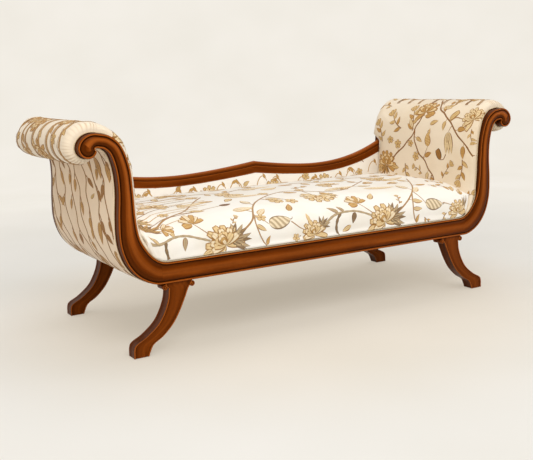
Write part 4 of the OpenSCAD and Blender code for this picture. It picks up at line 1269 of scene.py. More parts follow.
class Work:
    """Embroidery for one cloth: stitched shapes laid out flat in millimetres, each point with a height."""

    # tint multiplies the threads' colours; on the arms and the outside panels it makes them darker and
    # warmer, as painted shade
    def __init__(self, seed, tint=(1.0, 1.0, 1.0)):
        self.p, self.h, self.uv, self.col, self.faces, self.taken = [], [], [], [], [], []
        self.rng, self.tint = random.Random(seed), tint

    def band(self, rows):
        """Rows of stitches, each point with its height, its UV in mm and its colour."""
        base = len(self.p)
        for row in rows:
            for p, h, (u, v), col in row:
                self.p.append((float(p[0]), float(p[1])))
                self.h.append(h)
                self.uv.append((u * MM, v * MM))
                self.col.append(tuple(c * t for c, t in zip(col, self.tint)))
        self.faces += grid(len(rows), len(rows[0]), False, base)

    def take(self, p, r):
        self.taken.append((p[0], p[1], r))

    def free(self, p, r):
        return all((p[0] - x) ** 2 + (p[1] - y) ** 2 > (r + q) ** 2 for x, y, q in self.taken)

    def stem(self, knots, width, col=STEM, taper=0.5, rough=0.0, lift=0.0, wander=0.0):
        """A couched stem through its knots. Returns the line, for what grows on it."""
        k = [vec(*q) for q in knots]
        total = sum(np.linalg.norm(b - a) for a, b in zip(k, k[1:]))
        line = spline(k, max(2, int(total / (len(k) - 1) / STEM_STEP)), 2 * k[0] - k[1])
        if wander:
            off = [wander * (math.sin(i * 0.55 + k[0][0]) + 0.7 * math.sin(i * 0.23))
                   for i in range(len(line))]
            line = [p + left_of(unit(way_at(line, i))) * off[i] for i, p in enumerate(line)]
        rows = []
        for i, (p, run) in enumerate(zip(line, run_lengths(line))):
            across = left_of(unit(way_at(line, i)))
            half = width / 2 * mix(1.0, taper, i / (len(line) - 1)) * (1 + rough * math.sin(i * 1.7))
            knot = 0.86 + 0.2 * (0.5 + 0.5 * math.sin(i * 1.9)) if rough else 1.0
            rows.append([(p + across * s * half, lift + h, (run + s * half, s * half), shade(col, f * knot))
                         for s, h, f in STEM_ROW])
            if i % 2 == 0:
                self.take(p, width / 2 + 5)
        self.band(rows)
        return line

    def leaf(self, c, ang, length, width, col=LIGHT, edge=DEEP, vein=BROWN, bend=0.0, lift=0.2, petal=False,
             take=True):
        """A leaf or petal from its foot c along ang. Its edge is a dark outline."""
        p, a = vec(*c), ang - bend / 2
        rows = []
        for i in range(LEAF_STEPS):
            t = i / (LEAF_STEPS - 1)
            half = max(leaf_half(t, width, petal), THINNEST)
            across = left_of(spoke(a))
            tip = 0.0 if petal and t == 1 else 1.0
            body = shade(col, 0.94 + 0.12 * t)
            row = []
            for s, h, kind in LEAF_ROW:
                tone = edge if kind == "edge" or not tip else vein if kind == "vein" else body
                row.append((p + across * s * half, lift + h * min(1.0, half / 4) * tip,
                            (t * length + abs(s) * half, s * half), tone))
            rows.append(row)
            p = p + spoke(a) * length / (LEAF_STEPS - 1)
            a += bend / (LEAF_STEPS - 1)
        self.band(rows)
        if take:
            self.take(vec(*c) + spoke(ang) * length / 2, length * 0.42)

    def petal(self, c, ang, length, width, col, edge, vein, bend, lift):
        self.leaf(c, ang, length, width, col, edge, vein, bend, lift, True, False)

    def eye(self, c, r, col, edge, lift=0.8, height=1.4):
        rows = []
        for k in range(EYE_RINGS + 1):
            t = k / EYE_RINGS
            high = lift + height * math.sqrt(max(0, 1 - t * t))
            turns = [2 * math.pi * j / EYE_SIDES for j in range(EYE_SIDES + 1)]
            rows.append([(vec(*c) + r * t * vec(math.cos(a), math.sin(a)), high, (a * r, r * t),
                          col if k < 3 else edge) for a in turns])
        self.band(rows)

    def peony(self, c, ang, r, col=LIGHT, edge=DEEP):
        """A full flower seen from the side: back petals, front petals and a scaled heart."""
        c = vec(*c)
        foot = c - spoke(ang) * r * 0.16
        rings = ((9, 236, 1.05, 0.40, col, 0.2), (6, 170, 0.84, 0.44, PALE, 1.0),
                 (5, 128, 0.62, 0.40, col, 1.7))
        for n, spread, ln, wd, tint, lift in rings:
            for k in range(n):
                a = ang + spread * (k / (n - 1) - 0.5) + self.rng.uniform(-4, 4)
                self.petal(foot, a, r * ln * self.rng.uniform(0.94, 1.06), r * wd, tint, edge, GOLD,
                           self.rng.uniform(-12, 12), lift)
        for k, (ln, wd) in enumerate(((0.52, 0.50), (0.38, 0.36), (0.24, 0.22))):
            self.petal(foot, ang + 6, r * ln, r * wd, GOLD if k % 2 else PALE, edge, edge, 8, 2.4 + 0.6 * k)
        self.take(c + spoke(ang) * r * 0.25, r * 0.9)

    def feather(self, c, ang, r, n=7, spread=124, col=SAGE, edge=GREY):
        """A fan of narrow grey leaves behind a flower."""
        for k in range(n):
            a = ang + spread * (k / (n - 1) - 0.5)
            reach = r * (0.72 + 0.28 * math.cos(math.radians(a - ang)))
            self.leaf(c, a, reach, r * 0.25, col if k % 2 else GREY, edge, GREY, 12 if k % 2 else -12, 0.25,
                      False, False)
        self.take(vec(*c) + spoke(ang) * r * 0.5, r * 0.5)

    def bloom(self, c, r, n=5, turn=0.0, col=LIGHT, edge=DEEP):
        for k in range(n):
            self.petal(c, turn + 360 * k / n, r, r * 0.74, col, edge, GOLD, 0, 0.3)
        self.eye(c, r * 0.26, GOLD, BROWN)
        self.take(c, r)

    def cup(self, c, ang, r, col=PALE, edge=DEEP):
        """A half-open flower on its calyx."""
        for k, a in enumerate((-64, -34, 34, 64, -14, 14)):
            self.petal(c, ang + a, r * (0.9 if k < 4 else 1.05), r * 0.40, col if k % 2 else GOLD, edge,
                       GOLD, 0, 0.3 + 0.2 * k)
        for a in (-30, 0, 30):
            self.leaf(c, ang + a, r * 0.45, r * 0.22, GOLD, BROWN, BROWN, 0, 1.7, False, False)
        self.take(vec(*c) + spoke(ang) * r * 0.5, r * 0.6)

    def pod(self, c, ang, length, width, col=SAGE, edge=GREY, other=PALE):
        """A plump seed pod with scales of couched thread and a hooked tip."""
        c, way = vec(*c), spoke(ang)
        rows = []
        for i in range(POD_STEPS):
            t = i / (POD_STEPS - 1)
            half = max(THINNEST, width / 2 * math.sin(math.pi * t ** 0.8) ** 0.62)
            row = []
            for j, (s, h) in enumerate(POD_ROW):
                tone = edge if abs(s) > 0.8 else other if (i + j) % 4 < 2 else col
                row.append((c + way * (length * t) + left_of(way) * s * half, 0.2 + h * min(1, half / 5),
                            (t * length + s * s * 3, s * half), tone))
            rows.append(row)
        self.band(rows)
        tip = c + way * length * 0.98
        self.stem([tip, tip + way * 10, tip + way * 15 + left_of(way) * 9], 4.0, edge)
        self.take(c + way * length / 2, length * 0.55)

    def twig(self, c, ang, length, n=3, bend=25.0, width=4.2):
        """A short branch with leaves and a bud at its end."""
        pts, a = [vec(*c)], ang - bend / 2
        for _ in range(4):
            pts.append(pts[-1] + spoke(a) * length / 4)
            a += bend / 4
        line = self.stem(pts, width, BROWN, 0.6)
        for k in range(n):
            i = int((k + 0.6) / (n + 0.4) * (len(line) - 1))
            s = 1 if k % 2 else -1
            a = heading(way_at(line, i)) + s * self.rng.uniform(36, 60)
            self.leaf(line[i], a, length * self.rng.uniform(0.34, 0.46), length * 0.19,
                      self.rng.choice((GOLD, LIGHT)), DEEP, BROWN, s * -18, 0.25)
        a = heading(line[-1] - line[-2])
        for k in (-1, 1, 0):
            self.leaf(line[-1], a + 34 * k, length * 0.34, length * 0.17, LIGHT, DEEP, BROWN, 0,
                      0.4 + 0.3 * (k == 0), True)

    def along(self, line, every, size, first=0.5, tones=(GOLD, LIGHT, PALE), edge=DEEP):
        """Leaves, buds and now and then a blossom, by turns on either side of a stem."""
        side, due = 1, every * first
        for i, run in list(enumerate(run_lengths(line)))[1:-1]:
            if run < due:
                continue
            due = run + every * self.rng.uniform(0.8, 1.25)
            side = -side
            a = heading(way_at(line, i)) + side * self.rng.uniform(40, 66)
            size_now = size * self.rng.uniform(0.8, 1.2)
            foot = line[i] + spoke(a) * size_now * 0.3
            self.stem([line[i], line[i] + spoke(a - side * 14) * size_now * 0.16, foot], 3.6, STEM)
            pick = self.rng.random()
            if pick < 0.22:
                self.bloom(foot + spoke(a) * size_now * 0.3, size_now * 0.36, 5, a)
            elif pick < 0.36:
                self.cup(foot, a, size_now * 0.62)
            else:
                self.leaf(foot, a, size_now * 0.86, size_now * 0.42, self.rng.choice(tones), edge, BROWN,
                          side * -22, 0.25)

    def scatter(self, box, count, size, tries=900, leaves=False):
        """Fills what is left bare with sprigs, leaves and small blossoms."""
        x0, y0, x1, y1 = box
        made = 0
        for _ in range(tries):
            if made >= count:
                break
            p = vec(self.rng.uniform(x0, x1), self.rng.uniform(y0, y1))
            ln = size * self.rng.uniform(0.8, 1.25)
            a = self.rng.uniform(0, 360)
            if not self.free(p + spoke(a) * ln * 0.5, ln * 0.6):
                continue
            pick = 0.7 if leaves else self.rng.random()
            if pick < 0.38:
                self.twig(p, a, ln, 3, self.rng.uniform(-50, 50))
            elif pick < 0.56:
                self.bloom(p + spoke(a) * ln * 0.5, ln * 0.36, 5, a)
                self.stem([p, p + spoke(a) * ln * 0.2], 3.4, BROWN)
            elif pick < 0.84:
                self.leaf(p, a, ln * 0.9, ln * 0.38, self.rng.choice((GOLD, LIGHT)), DEEP, BROWN,
                          self.rng.uniform(-25, 25), 0.25)
            else:
                self.cup(p, a, ln * 0.55)
            self.take(p + spoke(a) * ln * 0.5, ln * 0.5)
            made += 1


# Threads across the stitches, in radians per metre along U
FINE_THREADS, COARSE_THREADS = 5200.0, 1500.0


def thread_material():
    """Satin stitch: fine slanting threads along the layout's U, over the thread's own colour."""
    m, nt, bsdf = material("silk_thread")
    uv = uv_place(nt)
    sep = node(nt, "ShaderNodeSeparateXYZ")
    link(nt, uv, sep.inputs[0])
    fine, coarse = (math_node(nt, "SINE", math_node(nt, "MULTIPLY", sep.outputs[0], rate))
                    for rate in (FINE_THREADS, COARSE_THREADS))
    coarse = math_node(nt, "MULTIPLY_ADD", coarse, 0.5, 0.5)
    grain = noise(nt, scaled(nt, uv, (420.0, 90.0, 1.0)), 1.0, 3.0)
    f = math_node(nt, "ADD", math_node(nt, "MULTIPLY", coarse, 0.45), math_node(nt, "MULTIPLY", grain, 0.55))
    tone = color_ramp(nt, [(0.2, (0.70, 0.66, 0.60, 1)), (0.75, (1.10, 1.10, 1.08, 1))], f)
    own = value_at(nt, "thread").outputs["Color"]
    link(nt, mix_color(nt, 1.0, own, tone, "MULTIPLY"), bsdf.inputs["Base Color"])
    set_sockets(bsdf, {"Roughness": 0.5, "Sheen Weight": 0.04, "Specular IOR Level": 0.2})
    link(nt, bump(nt, math_node(nt, "MULTIPLY_ADD", fine, 0.5, grain), 0.6, 0.0003), bsdf.inputs["Normal"])
    return m


thread = thread_material()
# How far the stitches stand off the cloth in mm, and what their heights are multiplied by
THREAD_LIFT, THREAD_RISE = 0.15, 0.75
THREAD_SHARP = 180


def lay(work, name, place, box, carrier, side=1):
    """Lays flat embroidery on its cloth: place gives the spot, and the cloth's own surface the point."""
    tree = BVHTree.FromObject(carrier, bpy.context.evaluated_depsgraph_get())
    x0, y0, x1, y1 = box
    keep = [x0 <= x <= x1 and y0 <= y <= y1 for x, y in work.p]
    faces = [f for f in work.faces if all(keep[i] for i in f)]
    used = sorted({i for f in faces for i in f})
    new = {i: k for k, i in enumerate(used)}
    verts, away = [], []
    spots = place.spots([work.p[i] for i in used]) * MM
    for i, q in zip(used, spots):
        point, normal, _, _ = tree.find_nearest(Vector((side * q[0], q[1], q[2])))
        verts.append(tuple(point + normal * ((work.h[i] * THREAD_RISE + THREAD_LIFT) * MM)))
        away.append(normal)
    # The faces look away from the cloth
    a, b, c = (new[i] for i in faces[0][:3])
    va, vb, vc = (Vector(verts[i]) for i in (a, b, c))
    turned = (vb - va).cross(vc - va).dot(away[a]) < 0
    faces = [tuple(new[i] for i in (f[::-1] if turned else f)) for f in faces]
    ob = new_mesh(name, verts, faces, [work.uv[i] for i in used], None, THREAD_SHARP, False)
    at = ob.data.attributes.new("thread", "FLOAT_COLOR", "POINT")
    at.data.foreach_set("color", np.array([work.col[i] + (1.0,) for i in used], np.float32).ravel())
    return dress(ridden(ob, "cover_cloth"), thread)


class Table:
    """A place function's points on an even grid, with the places between them taken evenly."""

    def __init__(self, us, vs, rows):
        self.us, self.vs, self.rows = np.array(us, float), np.array(vs, float), np.array(rows, float)

    def spots(self, flat):
        flat = np.array(flat, float)
        a = np.interp(flat[:, 0], self.us, np.arange(len(self.us)))
        b = np.interp(flat[:, 1], self.vs, np.arange(len(self.vs)))
        i = np.minimum(a.astype(int), len(self.us) - 2)
        j = np.minimum(b.astype(int), len(self.vs) - 2)
        s, t = (a - i)[:, None], (b - j)[:, None]
        r = self.rows
        return mix(mix(r[i, j], r[i + 1, j], s), mix(r[i, j + 1], r[i + 1, j + 1], s), t)


def seat_column(x, vs):
    """Points up the seat at x, from its front edge, at the lengths vs along its surface."""
    pts = np.array([seat_point(x, q) for q in seat_sec])
    run = run_lengths(pts)
    return [vec(*[np.interp(v, run, pts[:, k]) for k in range(3)]) for v in vs]


seat_us, seat_vs = np.linspace(-seat_reach + 1, seat_reach - 1, 420), np.linspace(0, 760, 200)
seat_place = Table(seat_us, seat_vs, [seat_column(x, seat_vs) for x in seat_us])
arm_run = run_lengths([arm_point(w, 0.5) for w in arm_ws])
pattern_run = np.interp(pattern_w0, arm_ws, arm_run)


def arm_spot(y, v):
    w = np.interp(v + pattern_run, arm_run, arm_ws)
    y0, y1 = arm_ends(w)
    return arm_point(w, min(1, max(0, (y - y0) / (y1 - y0))))


arm_us = np.linspace(-375, 385, 190)
arm_vs_flat = np.linspace(-pattern_run, arm_run[-1] - pattern_run, 300)
arm_place = Table(arm_us, arm_vs_flat, [[arm_spot(y, v) for v in arm_vs_flat] for y in arm_us])

outer_ws = np.linspace(outer_w0, 1.0, 120)
outer_run = run_lengths([outer_point(w, 0.5) for w in outer_ws])
outer_us = np.linspace(outer_y0, outer_y1, 120)
outer_wide = outer_y1 - outer_y0
outer_place = Table(outer_us, outer_run,
                    [[outer_point(w, (y - outer_y0) / outer_wide) for w in outer_ws] for y in outer_us])


def back_spot(x, z):
    lo, hi = back_low(x) + soft_gap, crest_low(x) - soft_gap
    return back_point(x, min(1, max(0, (z - lo) / (hi - lo))))


def back_out_spot(x, z):
    lo, hi = rail_top_z + soft_gap, crest_low(x) - soft_gap
    return back_out_point(x, min(1, max(0, (z - lo) / (hi - lo))))


back_us, back_vs = np.linspace(-back_half, back_half, 240), np.linspace(350, 620, 60)
back_place = Table(back_us, back_vs, [[back_spot(x, z) for z in back_vs] for x in back_us])
back_out_place = Table(back_us, back_vs, [[back_out_spot(x, z) for z in back_vs] for x in back_us])


def sew_seat():
    """The seat: x along it, and the way up over its front and back to the crest rail."""
    k = Work(11, (1.10, 1.12, 1.24))
    # The two large flowers and what springs from them
    for x, turn in ((-486, 118), (296, 120)):
        k.feather((x + 34, 42), 24, 92, 8, 118)
        k.peony((x, 46), turn, 82)
        k.leaf((x - 44, 18), 196, 52, 24, LIGHT, DEEP, BROWN, 20)
        k.cup((x - 110, 146), 84, 62)
        k.stem([(x - 46, 70), (x - 84, 108), (x - 110, 146)], 5.4)
        k.leaf((x - 112, 140), 190, 44, 36, GOLD, DEEP, BROWN, 10, 0.3, True)
    k.stem([(-800, 44), (-745, 74), (-695, 90), (-640, 88), (-585, 70), (-545, 56)], 11.0, SAGE, 0.8, 0.12)
    k.leaf((-700, 92), 118, 44, 20, LIGHT, DEEP, BROWN, 16)
    k.stem([(-742, 72), (-744, 44), (-736, 8)], 13.0, GREY, 0.9, 0.2)
    k.leaf((-650, 84), 262, 56, 25, SAGE, BROWN, UMBER, 20)
    k.leaf((-768, 60), 150, 40, 18, LIGHT, BROWN, BROWN, 16)
    k.stem([(-8, 62), (40, 92), (95, 102), (160, 98), (226, 72), (262, 56)], 11.0, SAGE, 0.85, 0.12)
    k.stem([(74, 98), (52, 70), (44, 38), (52, 4)], 12.5, GREY, 0.9, 0.2)
    k.leaf((150, 94), 248, 54, 24, GREY, UMBER, UMBER, 18)
    k.leaf((66, 102), 142, 58, 22, SAGE, BROWN, BROWN, 14)
    k.leaf((96, 104), 128, 44, 18, SAGE, BROWN, BROWN, 14)
    k.feather((-34, 52), 40, 52, 5, 100)
    k.peony((-70, 34), 108, 58)
    k.leaf((-86, 78), 96, 44, 16, LIGHT, GOLD, GOLD, -10)
    k.peony((724, 40), 96, 54)
    k.feather((752, 40), 46, 50, 5, 90)
    # The main vine
    line = k.stem([(-420, 72), (-378, 92), (-340, 126), (-316, 168), (-290, 216), (-235, 282), (-150, 356),
                   (-70, 404), (0, 424), (60, 388), (140, 322), (220, 312), (300, 350), (400, 422),
                   (465, 472)], 7.8, STEM, 0.8)
    k.along(line[14:], 92, 76, 0.3, (LIGHT, PALE, GOLD))
    k.stem([(-318, 158), (-334, 104), (-324, 50), (-298, 6)], 6.0, STEM, 0.8)
    k.leaf((-332, 96), 322, 50, 22, LIGHT, BROWN, BROWN, 10)
    k.leaf((-296, 8), 60, 40, 15, GOLD, DEEP, BROWN, -20)
    k.pod((-276, 92), 6, 104, 66)
    k.stem([(-318, 148), (-300, 122), (-278, 94)], 5.6, STEM)
    k.stem([(-172, 92), (-140, 62), (-112, 46)], 5.6, STEM)
    k.leaf((-300, 150), 40, 66, 30, PALE, GOLD, GOLD, -10)
    line = k.stem([(372, 66), (420, 96), (468, 132), (520, 178), (574, 240), (630, 322), (680, 400)], 7.2,
                  STEM, 0.8)
    k.along(line[12:], 86, 74, 0.3, (LIGHT, PALE, GOLD))
    k.stem([(506, 164), (476, 112), (464, 60), (476, 8)], 7.0, STEM, 0.8)
    k.leaf((466, 74), -4, 50, 22, LIGHT, BROWN, BROWN, 15)
    k.leaf((478, 10), 60, 40, 15, GOLD, DEEP, BROWN, -20)
    k.pod((540, 88), -6, 98, 62)
    k.stem([(520, 176), (530, 132), (542, 92)], 5.6, STEM)
    k.stem([(640, 84), (668, 76), (700, 60)], 5.0, STEM)
    k.leaf((528, 172), 38, 66, 30, PALE, GOLD, GOLD, -10)
    line = k.stem([(-800, 118), (-755, 146), (-700, 192), (-640, 224), (-570, 266), (-500, 352), (-440, 430),
                   (-380, 500)], 8.4, STEM, 0.8)
    k.along(line, 84, 66, 0.6, (LIGHT, GOLD))
    k.stem([(-620, 236), (-540, 238), (-470, 262), (-400, 284)], 5.6, STEM)
    k.leaf((-404, 284), 14, 60, 32, UMBER, BROWN, BROWN)
    k.leaf((-390, 200), 5, 104, 36, PALE, GOLD, GOLD, -16)
    k.stem([(-312, 178), (-350, 204), (-388, 202)], 4.6, STEM)
    # Small blossoms and the flower on top of the seat
    k.bloom((-150, 262), 32, 6, 10)
    k.bloom((-88, 240), 28, 5, 40)
    k.stem([(-150, 262), (-170, 290), (-190, 318)], 4.6, STEM)
    k.stem([(-88, 240), (-120, 300), (-150, 350)], 4.6, STEM)
    k.feather((92, 262), 340, 66, 6, 100, LIGHT, GOLD)
    k.peony((56, 254), 246, 72)
    k.stem([(62, 384), (56, 334), (54, 290)], 5.6, STEM)
    for knots in (((-700, 560), (-600, 520), (-480, 560), (-360, 600), (-240, 560), (-140, 610), (-20, 650)),
                  ((160, 640), (260, 590), (380, 560), (480, 600), (600, 560), (720, 590))):
        line = k.stem(knots, 8.0, STEM, 0.8)
        k.along(line, 80, 68, 0.5, (LIGHT, GOLD, PALE))
    for c, turn, r in (((-250, 500), 200, 62), ((560, 470), 160, 64), ((-640, 400), 60, 60),
                       ((260, 470), 120, 58), ((-470, 640), 90, 56)):
        k.peony(c, turn, r)
    k.pod((-60, 520), 20, 94, 50, LIGHT, GOLD)
    for c, way, length, bend in (((150, 336), 8, 190, -14), ((330, 292), -10, 160, 16),
                                 ((-570, 330), 16, 180, -16), ((-300, 440), -8, 180, 14),
                                 ((440, 545), 172, 180, 12), ((-130, 590), 6, 170, -12),
                                 ((560, 400), 20, 150, -16)):
        k.leaf(c, way, length, 42, PALE, GOLD, GOLD, bend)
    k.scatter((-790, 120, 790, 740), 30, 86)
    k.scatter((-770, 24, 770, 120), 7, 56)
    # The fan of fine lines that runs in from the left end
    for low, high, reach, col in ((122, 190, -570, GOLD), (142, 236, -530, BROWN), (164, 290, -500, GOLD),
                                  (186, 330, -440, GOLD), (212, 392, -520, BROWN), (240, 424, -400, GOLD),
                                  (276, 468, -470, BROWN), (320, 520, -380, GOLD), (372, 566, -420, GOLD),
                                  (430, 610, -500, BROWN)):
        k.stem([(-808, low), (-744, mix(low, high, 0.30) + 8), (-664, mix(low, high, 0.66) + 8),
                (reach, high)], 3.8, col, 0.8)
    k.feather((-800, 128), 38, 66, 8, 96, GOLD, BROWN)
    k.feather((-800, 196), 24, 60, 7, 80, LIGHT, GOLD)
    return k


def sew_arm(seed, wrap):
    """An arm: branching stems from the seat up over the roll, and stems round the roll, wrap wide."""
    # The threads' colours are darker and warmer here, as painted shade
    k = Work(seed, (0.95, 0.88, 0.78))
    tones = (GOLD, LIGHT, PALE)
    s1 = k.stem([(340, 30), (270, 92), (208, 156), (150, 208), (100, 252), (62, 300), (39, 344), (20, 378),
                 (8, 410)], 8.2, BROWN, 0.85, wander=2.2)
    s2 = k.stem([(48, 326), (40, 285), (26, 240), (0, 205), (-38, 174), (-72, 138), (-107, 100), (-130, 40)],
                7.6, BROWN, 0.85, wander=2.2)
    s3 = k.stem([(-30, 520), (-58, 480), (-86, 442), (-124, 414), (-162, 391), (-212, 352), (-262, 310),
                 (-310, 264), (-350, 214)], 8.2, BROWN, 0.85, wander=2.2)
    k.feather((20, 420), 60, 66, 6, 120, GOLD, DEEP)
    k.peony((8, 436), 76, 68, GOLD, DEEP)
    k.feather((250, 130), 290, 60, 6, 120, GOLD, DEEP)
    k.peony((244, 150), 90, 66, GOLD, DEEP)
    k.pod((-58, 244), 84, 74, 42, GOLD, DEEP, LIGHT)
    k.leaf((-58, 306), 96, 34, 14, LIGHT, DEEP, BROWN)
    k.stem([(-30, 182), (-44, 212), (-58, 246)], 4.6, STEM)
    for off, bend in ((-6, 14), (0, 4), (6, -8)):
        k.leaf((-190 + off, 326), 262 + off, 112, 30, PALE, BROWN, BROWN, bend, 0.3 + 0.1 * abs(off - 3) / 3)
    k.stem([(-206, 356), (-196, 342), (-190, 326)], 4.6, STEM)
    k.stem([(-186, 214), (-172, 190), (-150, 186)], 5.0, BROWN)
    k.leaf((-150, 186), 62, 54, 36, DEEP, UMBER, UMBER, -10, 0.3, True)
    k.peony((-318, 404), 48, 62, PALE, DEEP)
    k.stem([(-182, 380), (-214, 400), (-262, 392), (-296, 400)], 6.4, STEM)
    k.leaf((-176, 386), 130, 62, 34, LIGHT, DEEP, BROWN, 10, 0.3, True)
    k.along(s1, 78, 62, 0.7, tones)
    k.along(s2, 66, 60, 0.4, tones)
    k.along(s3, 84, 62, 0.9, tones)
    for x, y, a, ln, bend in ((64, 322, 70, 100, -30), (150, 330, 40, 104, 30), (288, 250, 62, 92, -40),
                              (-120, 424, 112, 92, 30), (-96, 108, 300, 84, 30), (-296, 196, 282, 90, 30),
                              (190, 76, 200, 70, 20), (100, 150, 250, 84, -30)):
        k.twig((x, y), a, ln * 1.1, 4, bend, 6.4)
    # Round the roll
    for y0, dy, col in ((-300, 22, STEM), (-226, 30, BROWN), (-158, 20, STEM), (-70, 30, STEM),
                        (8, 26, BROWN), (104, 34, STEM), (180, 18, STEM), (262, 26, BROWN)):
        way = ((0, 476), (dy * 0.4, 540), (dy, 620), (dy * 0.5, 700), (-dy * 0.3, 780), (0, 866))
        wide = wrap * k.rng.uniform(0.45, 1.15)
        if wrap > 12:
            k.stem([(y0 + a, b) for a, b in way], wide, GOLD, 0.8)
        for off in (-0.5, 0.42, 1.1):
            shift = off * wide
            line = k.stem([(y0 + a + shift + 3 * (i % 2), b) for i, (a, b) in enumerate(way)], 4.4, col, 0.8,
                          lift=0.3)
        k.along(line, 120, 56, k.rng.uniform(0.2, 0.9), tones)
    for c, turn, r in (((-190, 560), 90, 62), ((70, 600), 100, 64), ((230, 560), 80, 56),
                       ((-60, 730), 80, 56), ((150, 740), 90, 54)):
        k.peony(c, turn, r, GOLD, DEEP)
    k.scatter((-340, -40, 330, 480), 22, 70)
    k.scatter((-270, 480, 320, 850), 14, 58, 900, True)
    return k


# The outside panels' embroidery is drawn this much too narrow, and widened at the end
OUTER_WIDE = 1.7


def sew_outer(seed):
    """An outside panel: stems that run down and forward, with narrow hanging leaves."""
    # The threads' colours are darker and warmer here, as painted shade
    k = Work(seed, (0.94, 0.85, 0.70))
    top = outer_run[-1]
    for c, way, length, wide in (((-124, top - 66), 262, 86, 30), ((-118, top - 312), 268, 88, 26),
                                 ((-182, top - 88), 268, 70, 30), ((-188, top - 404), 266, 76, 27)):
        k.leaf(c, way, length, wide, GOLD, DEEP, BROWN, 8, 0.3)
    for y in range(-170, 380, 54):
        lean, turn = k.rng.uniform(120, 190), k.rng.choice((-1, 1))
        knots = []
        for i in range(9):
            t = i / 8
            knots.append((y - lean * (0.55 * t + 0.6 * t * t) + turn * k.rng.uniform(4, 9),
                          top - 6 - (top - 14) * t))
            turn = -turn
        line = k.stem(knots, k.rng.uniform(5.4, 6.6), k.rng.choice((STEM, DEEP)), 0.8, wander=1.4)
        for part in (0.10, 0.28, 0.45, 0.62, 0.80):
            i = int((len(line) - 1) * (part + k.rng.uniform(-0.05, 0.05)))
            side = k.rng.choice((-1, 1))
            way = heading(line[i + 1] - line[i - 1]) + side * k.rng.uniform(16, 44)
            foot = line[i] + spoke(way) * k.rng.uniform(12, 30)
            k.stem([line[i], (line[i] + foot) / 2 + side * vec(1.5, 0), foot], 4.4, BROWN, 0.8)
            k.leaf(foot, way - side * 12, k.rng.uniform(42, 64), k.rng.uniform(16, 22),
                   k.rng.choice((DEEP, GOLD, GOLD)), DEEP, BROWN, k.rng.uniform(-20, 20), 0.3)
    k.scatter((-196, 20, 196, top - 20), 22, 44, 900, True)
    k.p = [(x * OUTER_WIDE, z) for x, z in k.p]
    return k


def sew_back(seed, z0, z1):
    """The back, inside or out: a low running vine under the crest rail."""
    k = Work(seed)
    mid = (z0 + z1) / 2
    for x0 in (-770, -440, -90, 260, 590):
        line = k.stem([(x0, mid - 30), (x0 + 60, mid + 26), (x0 + 140, mid + 4), (x0 + 220, mid - 30),
                       (x0 + 300, mid + 12)], 7.0, STEM, 0.8)
        k.along(line, 60, 56, 0.5)
    for x in (-560, -180, 170, 480):
        k.peony((x, mid + 6), 90, 52)
    # Tendrils that curl up to the crest rail
    for x in range(-760, 780, 76):
        z, way = crest_low(x) - 8, 1 if x % 3 else -1
        k.stem([(x, z - 64), (x + 10 * way, z - 34), (x + 30 * way, z - 12), (x + 50 * way, z - 14),
                (x + 60 * way, z - 34)], 4.6, BROWN if x % 2 else GOLD, 0.8)
        k.leaf((x + 52 * way, z - 22), 70 + 40 * way, 26, 14, GOLD, DEEP, BROWN, 10)
    k.scatter((-800, z0, 800, z1), 34, 60)
    return k


BACK_Z = (360, 560)
# The dust sheet in mm: its hem, how far it sags, and its thickness, which is more at the hem
HEM, SAG, SHEET_T, HEM_T = 14.0, 1.6, 0.6, 1.1


def dust_sheet():
    """The black cloth tacked under the seat frame: turned hems, and a slight sag between the rails."""
    lo, hi = (np.array(q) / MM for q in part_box("dust_cover"))
    nx, ny = 90, 36
    top, bottom = [], []
    for i in range(nx + 1):
        x = mix(lo[0], hi[0], i / nx)
        for j in range(ny + 1):
            y = mix(lo[1], hi[1], j / ny)
            inset = min(x - lo[0], hi[0] - x, y - lo[1], hi[1] - y)
            sag = SAG * math.sin(math.pi * j / ny) * abs(math.sin(3 * math.pi * i / nx)) ** 0.7
            z = hi[2] - 0.2 - sag
            top.append((x * MM, y * MM, z * MM))
            bottom.append((x * MM, y * MM, (z - (HEM_T if inset < HEM else SHEET_T)) * MM))
    ob = dress(new_mesh("dust_sheet", top + bottom, slab(nx + 1, ny + 1), None, None, CLOTH_SHARP),
               black_cloth)
    ridden(ob, "dust_cloth", "dust_cover")

dust_sheet()
# The parts of the seat's, an arm's and the back's layout that are kept: x0, y0, x1, y1 in mm
SEAT_BOX, ARM_BOX = (-812, 3, 812, 742), (-368, -44, 372, 866)
OUTER_BOX = (outer_y0 + 4, 8, outer_y1 - 4, outer_run[-1] - 3)
BACK_BOX, BACK_OUT_BOX = (-835, 352, 835, 700), (-835, 354, 835, 700)
OUTER_CORD = trim_r * 0.8
lay(sew_seat(), "seat_embroidery", seat_place, SEAT_BOX, seat)
for side, word in ((-1, "left"), (1, "right")):
    sewn = sew_arm(21, 9.0) if side > 0 else sew_arm(22, 17.0)
    lay(sewn, "arm_embroidery_" + word, arm_place, ARM_BOX, arms[word], side)
    sewn = sew_outer(31 if side > 0 else 32)
    on_it = [lay(sewn, "outside_embroidery_" + word, outer_place, OUTER_BOX, outers[word], side)]
    ridden(cord_piece("arm_cord_" + word, inner_route(side), trim_r), "trim_cord", "arm_trim_" + word)
    for tag, y in (("front", outer_y0 - trim_r), ("back", outer_y1 + trim_r)):
        cord = cord_piece("outside_cord_%s_%s" % (tag, word), outer_route(side, y, OUTER_CORD), OUTER_CORD)
        on_it.append(ridden(cord, "trim_cord"))
lay(sew_back(41, *BACK_Z), "back_embroidery", back_place, BACK_BOX, back_in)
sewn = lay(sew_back(42, *BACK_Z), "back_outside_embroidery", back_out_place, BACK_OUT_BOX, back_out)
seat_route = [(x, seat_front_y - trim_r - soft_gap, rail_top_z + rail_rise(x) + trim_r + soft_gap)
              for x in np.linspace(-half_l + 0.4, half_l - 0.4, 300)]
ridden(cord_piece("seat_cord", seat_route, trim_r), "trim_cord", "seat_trim")

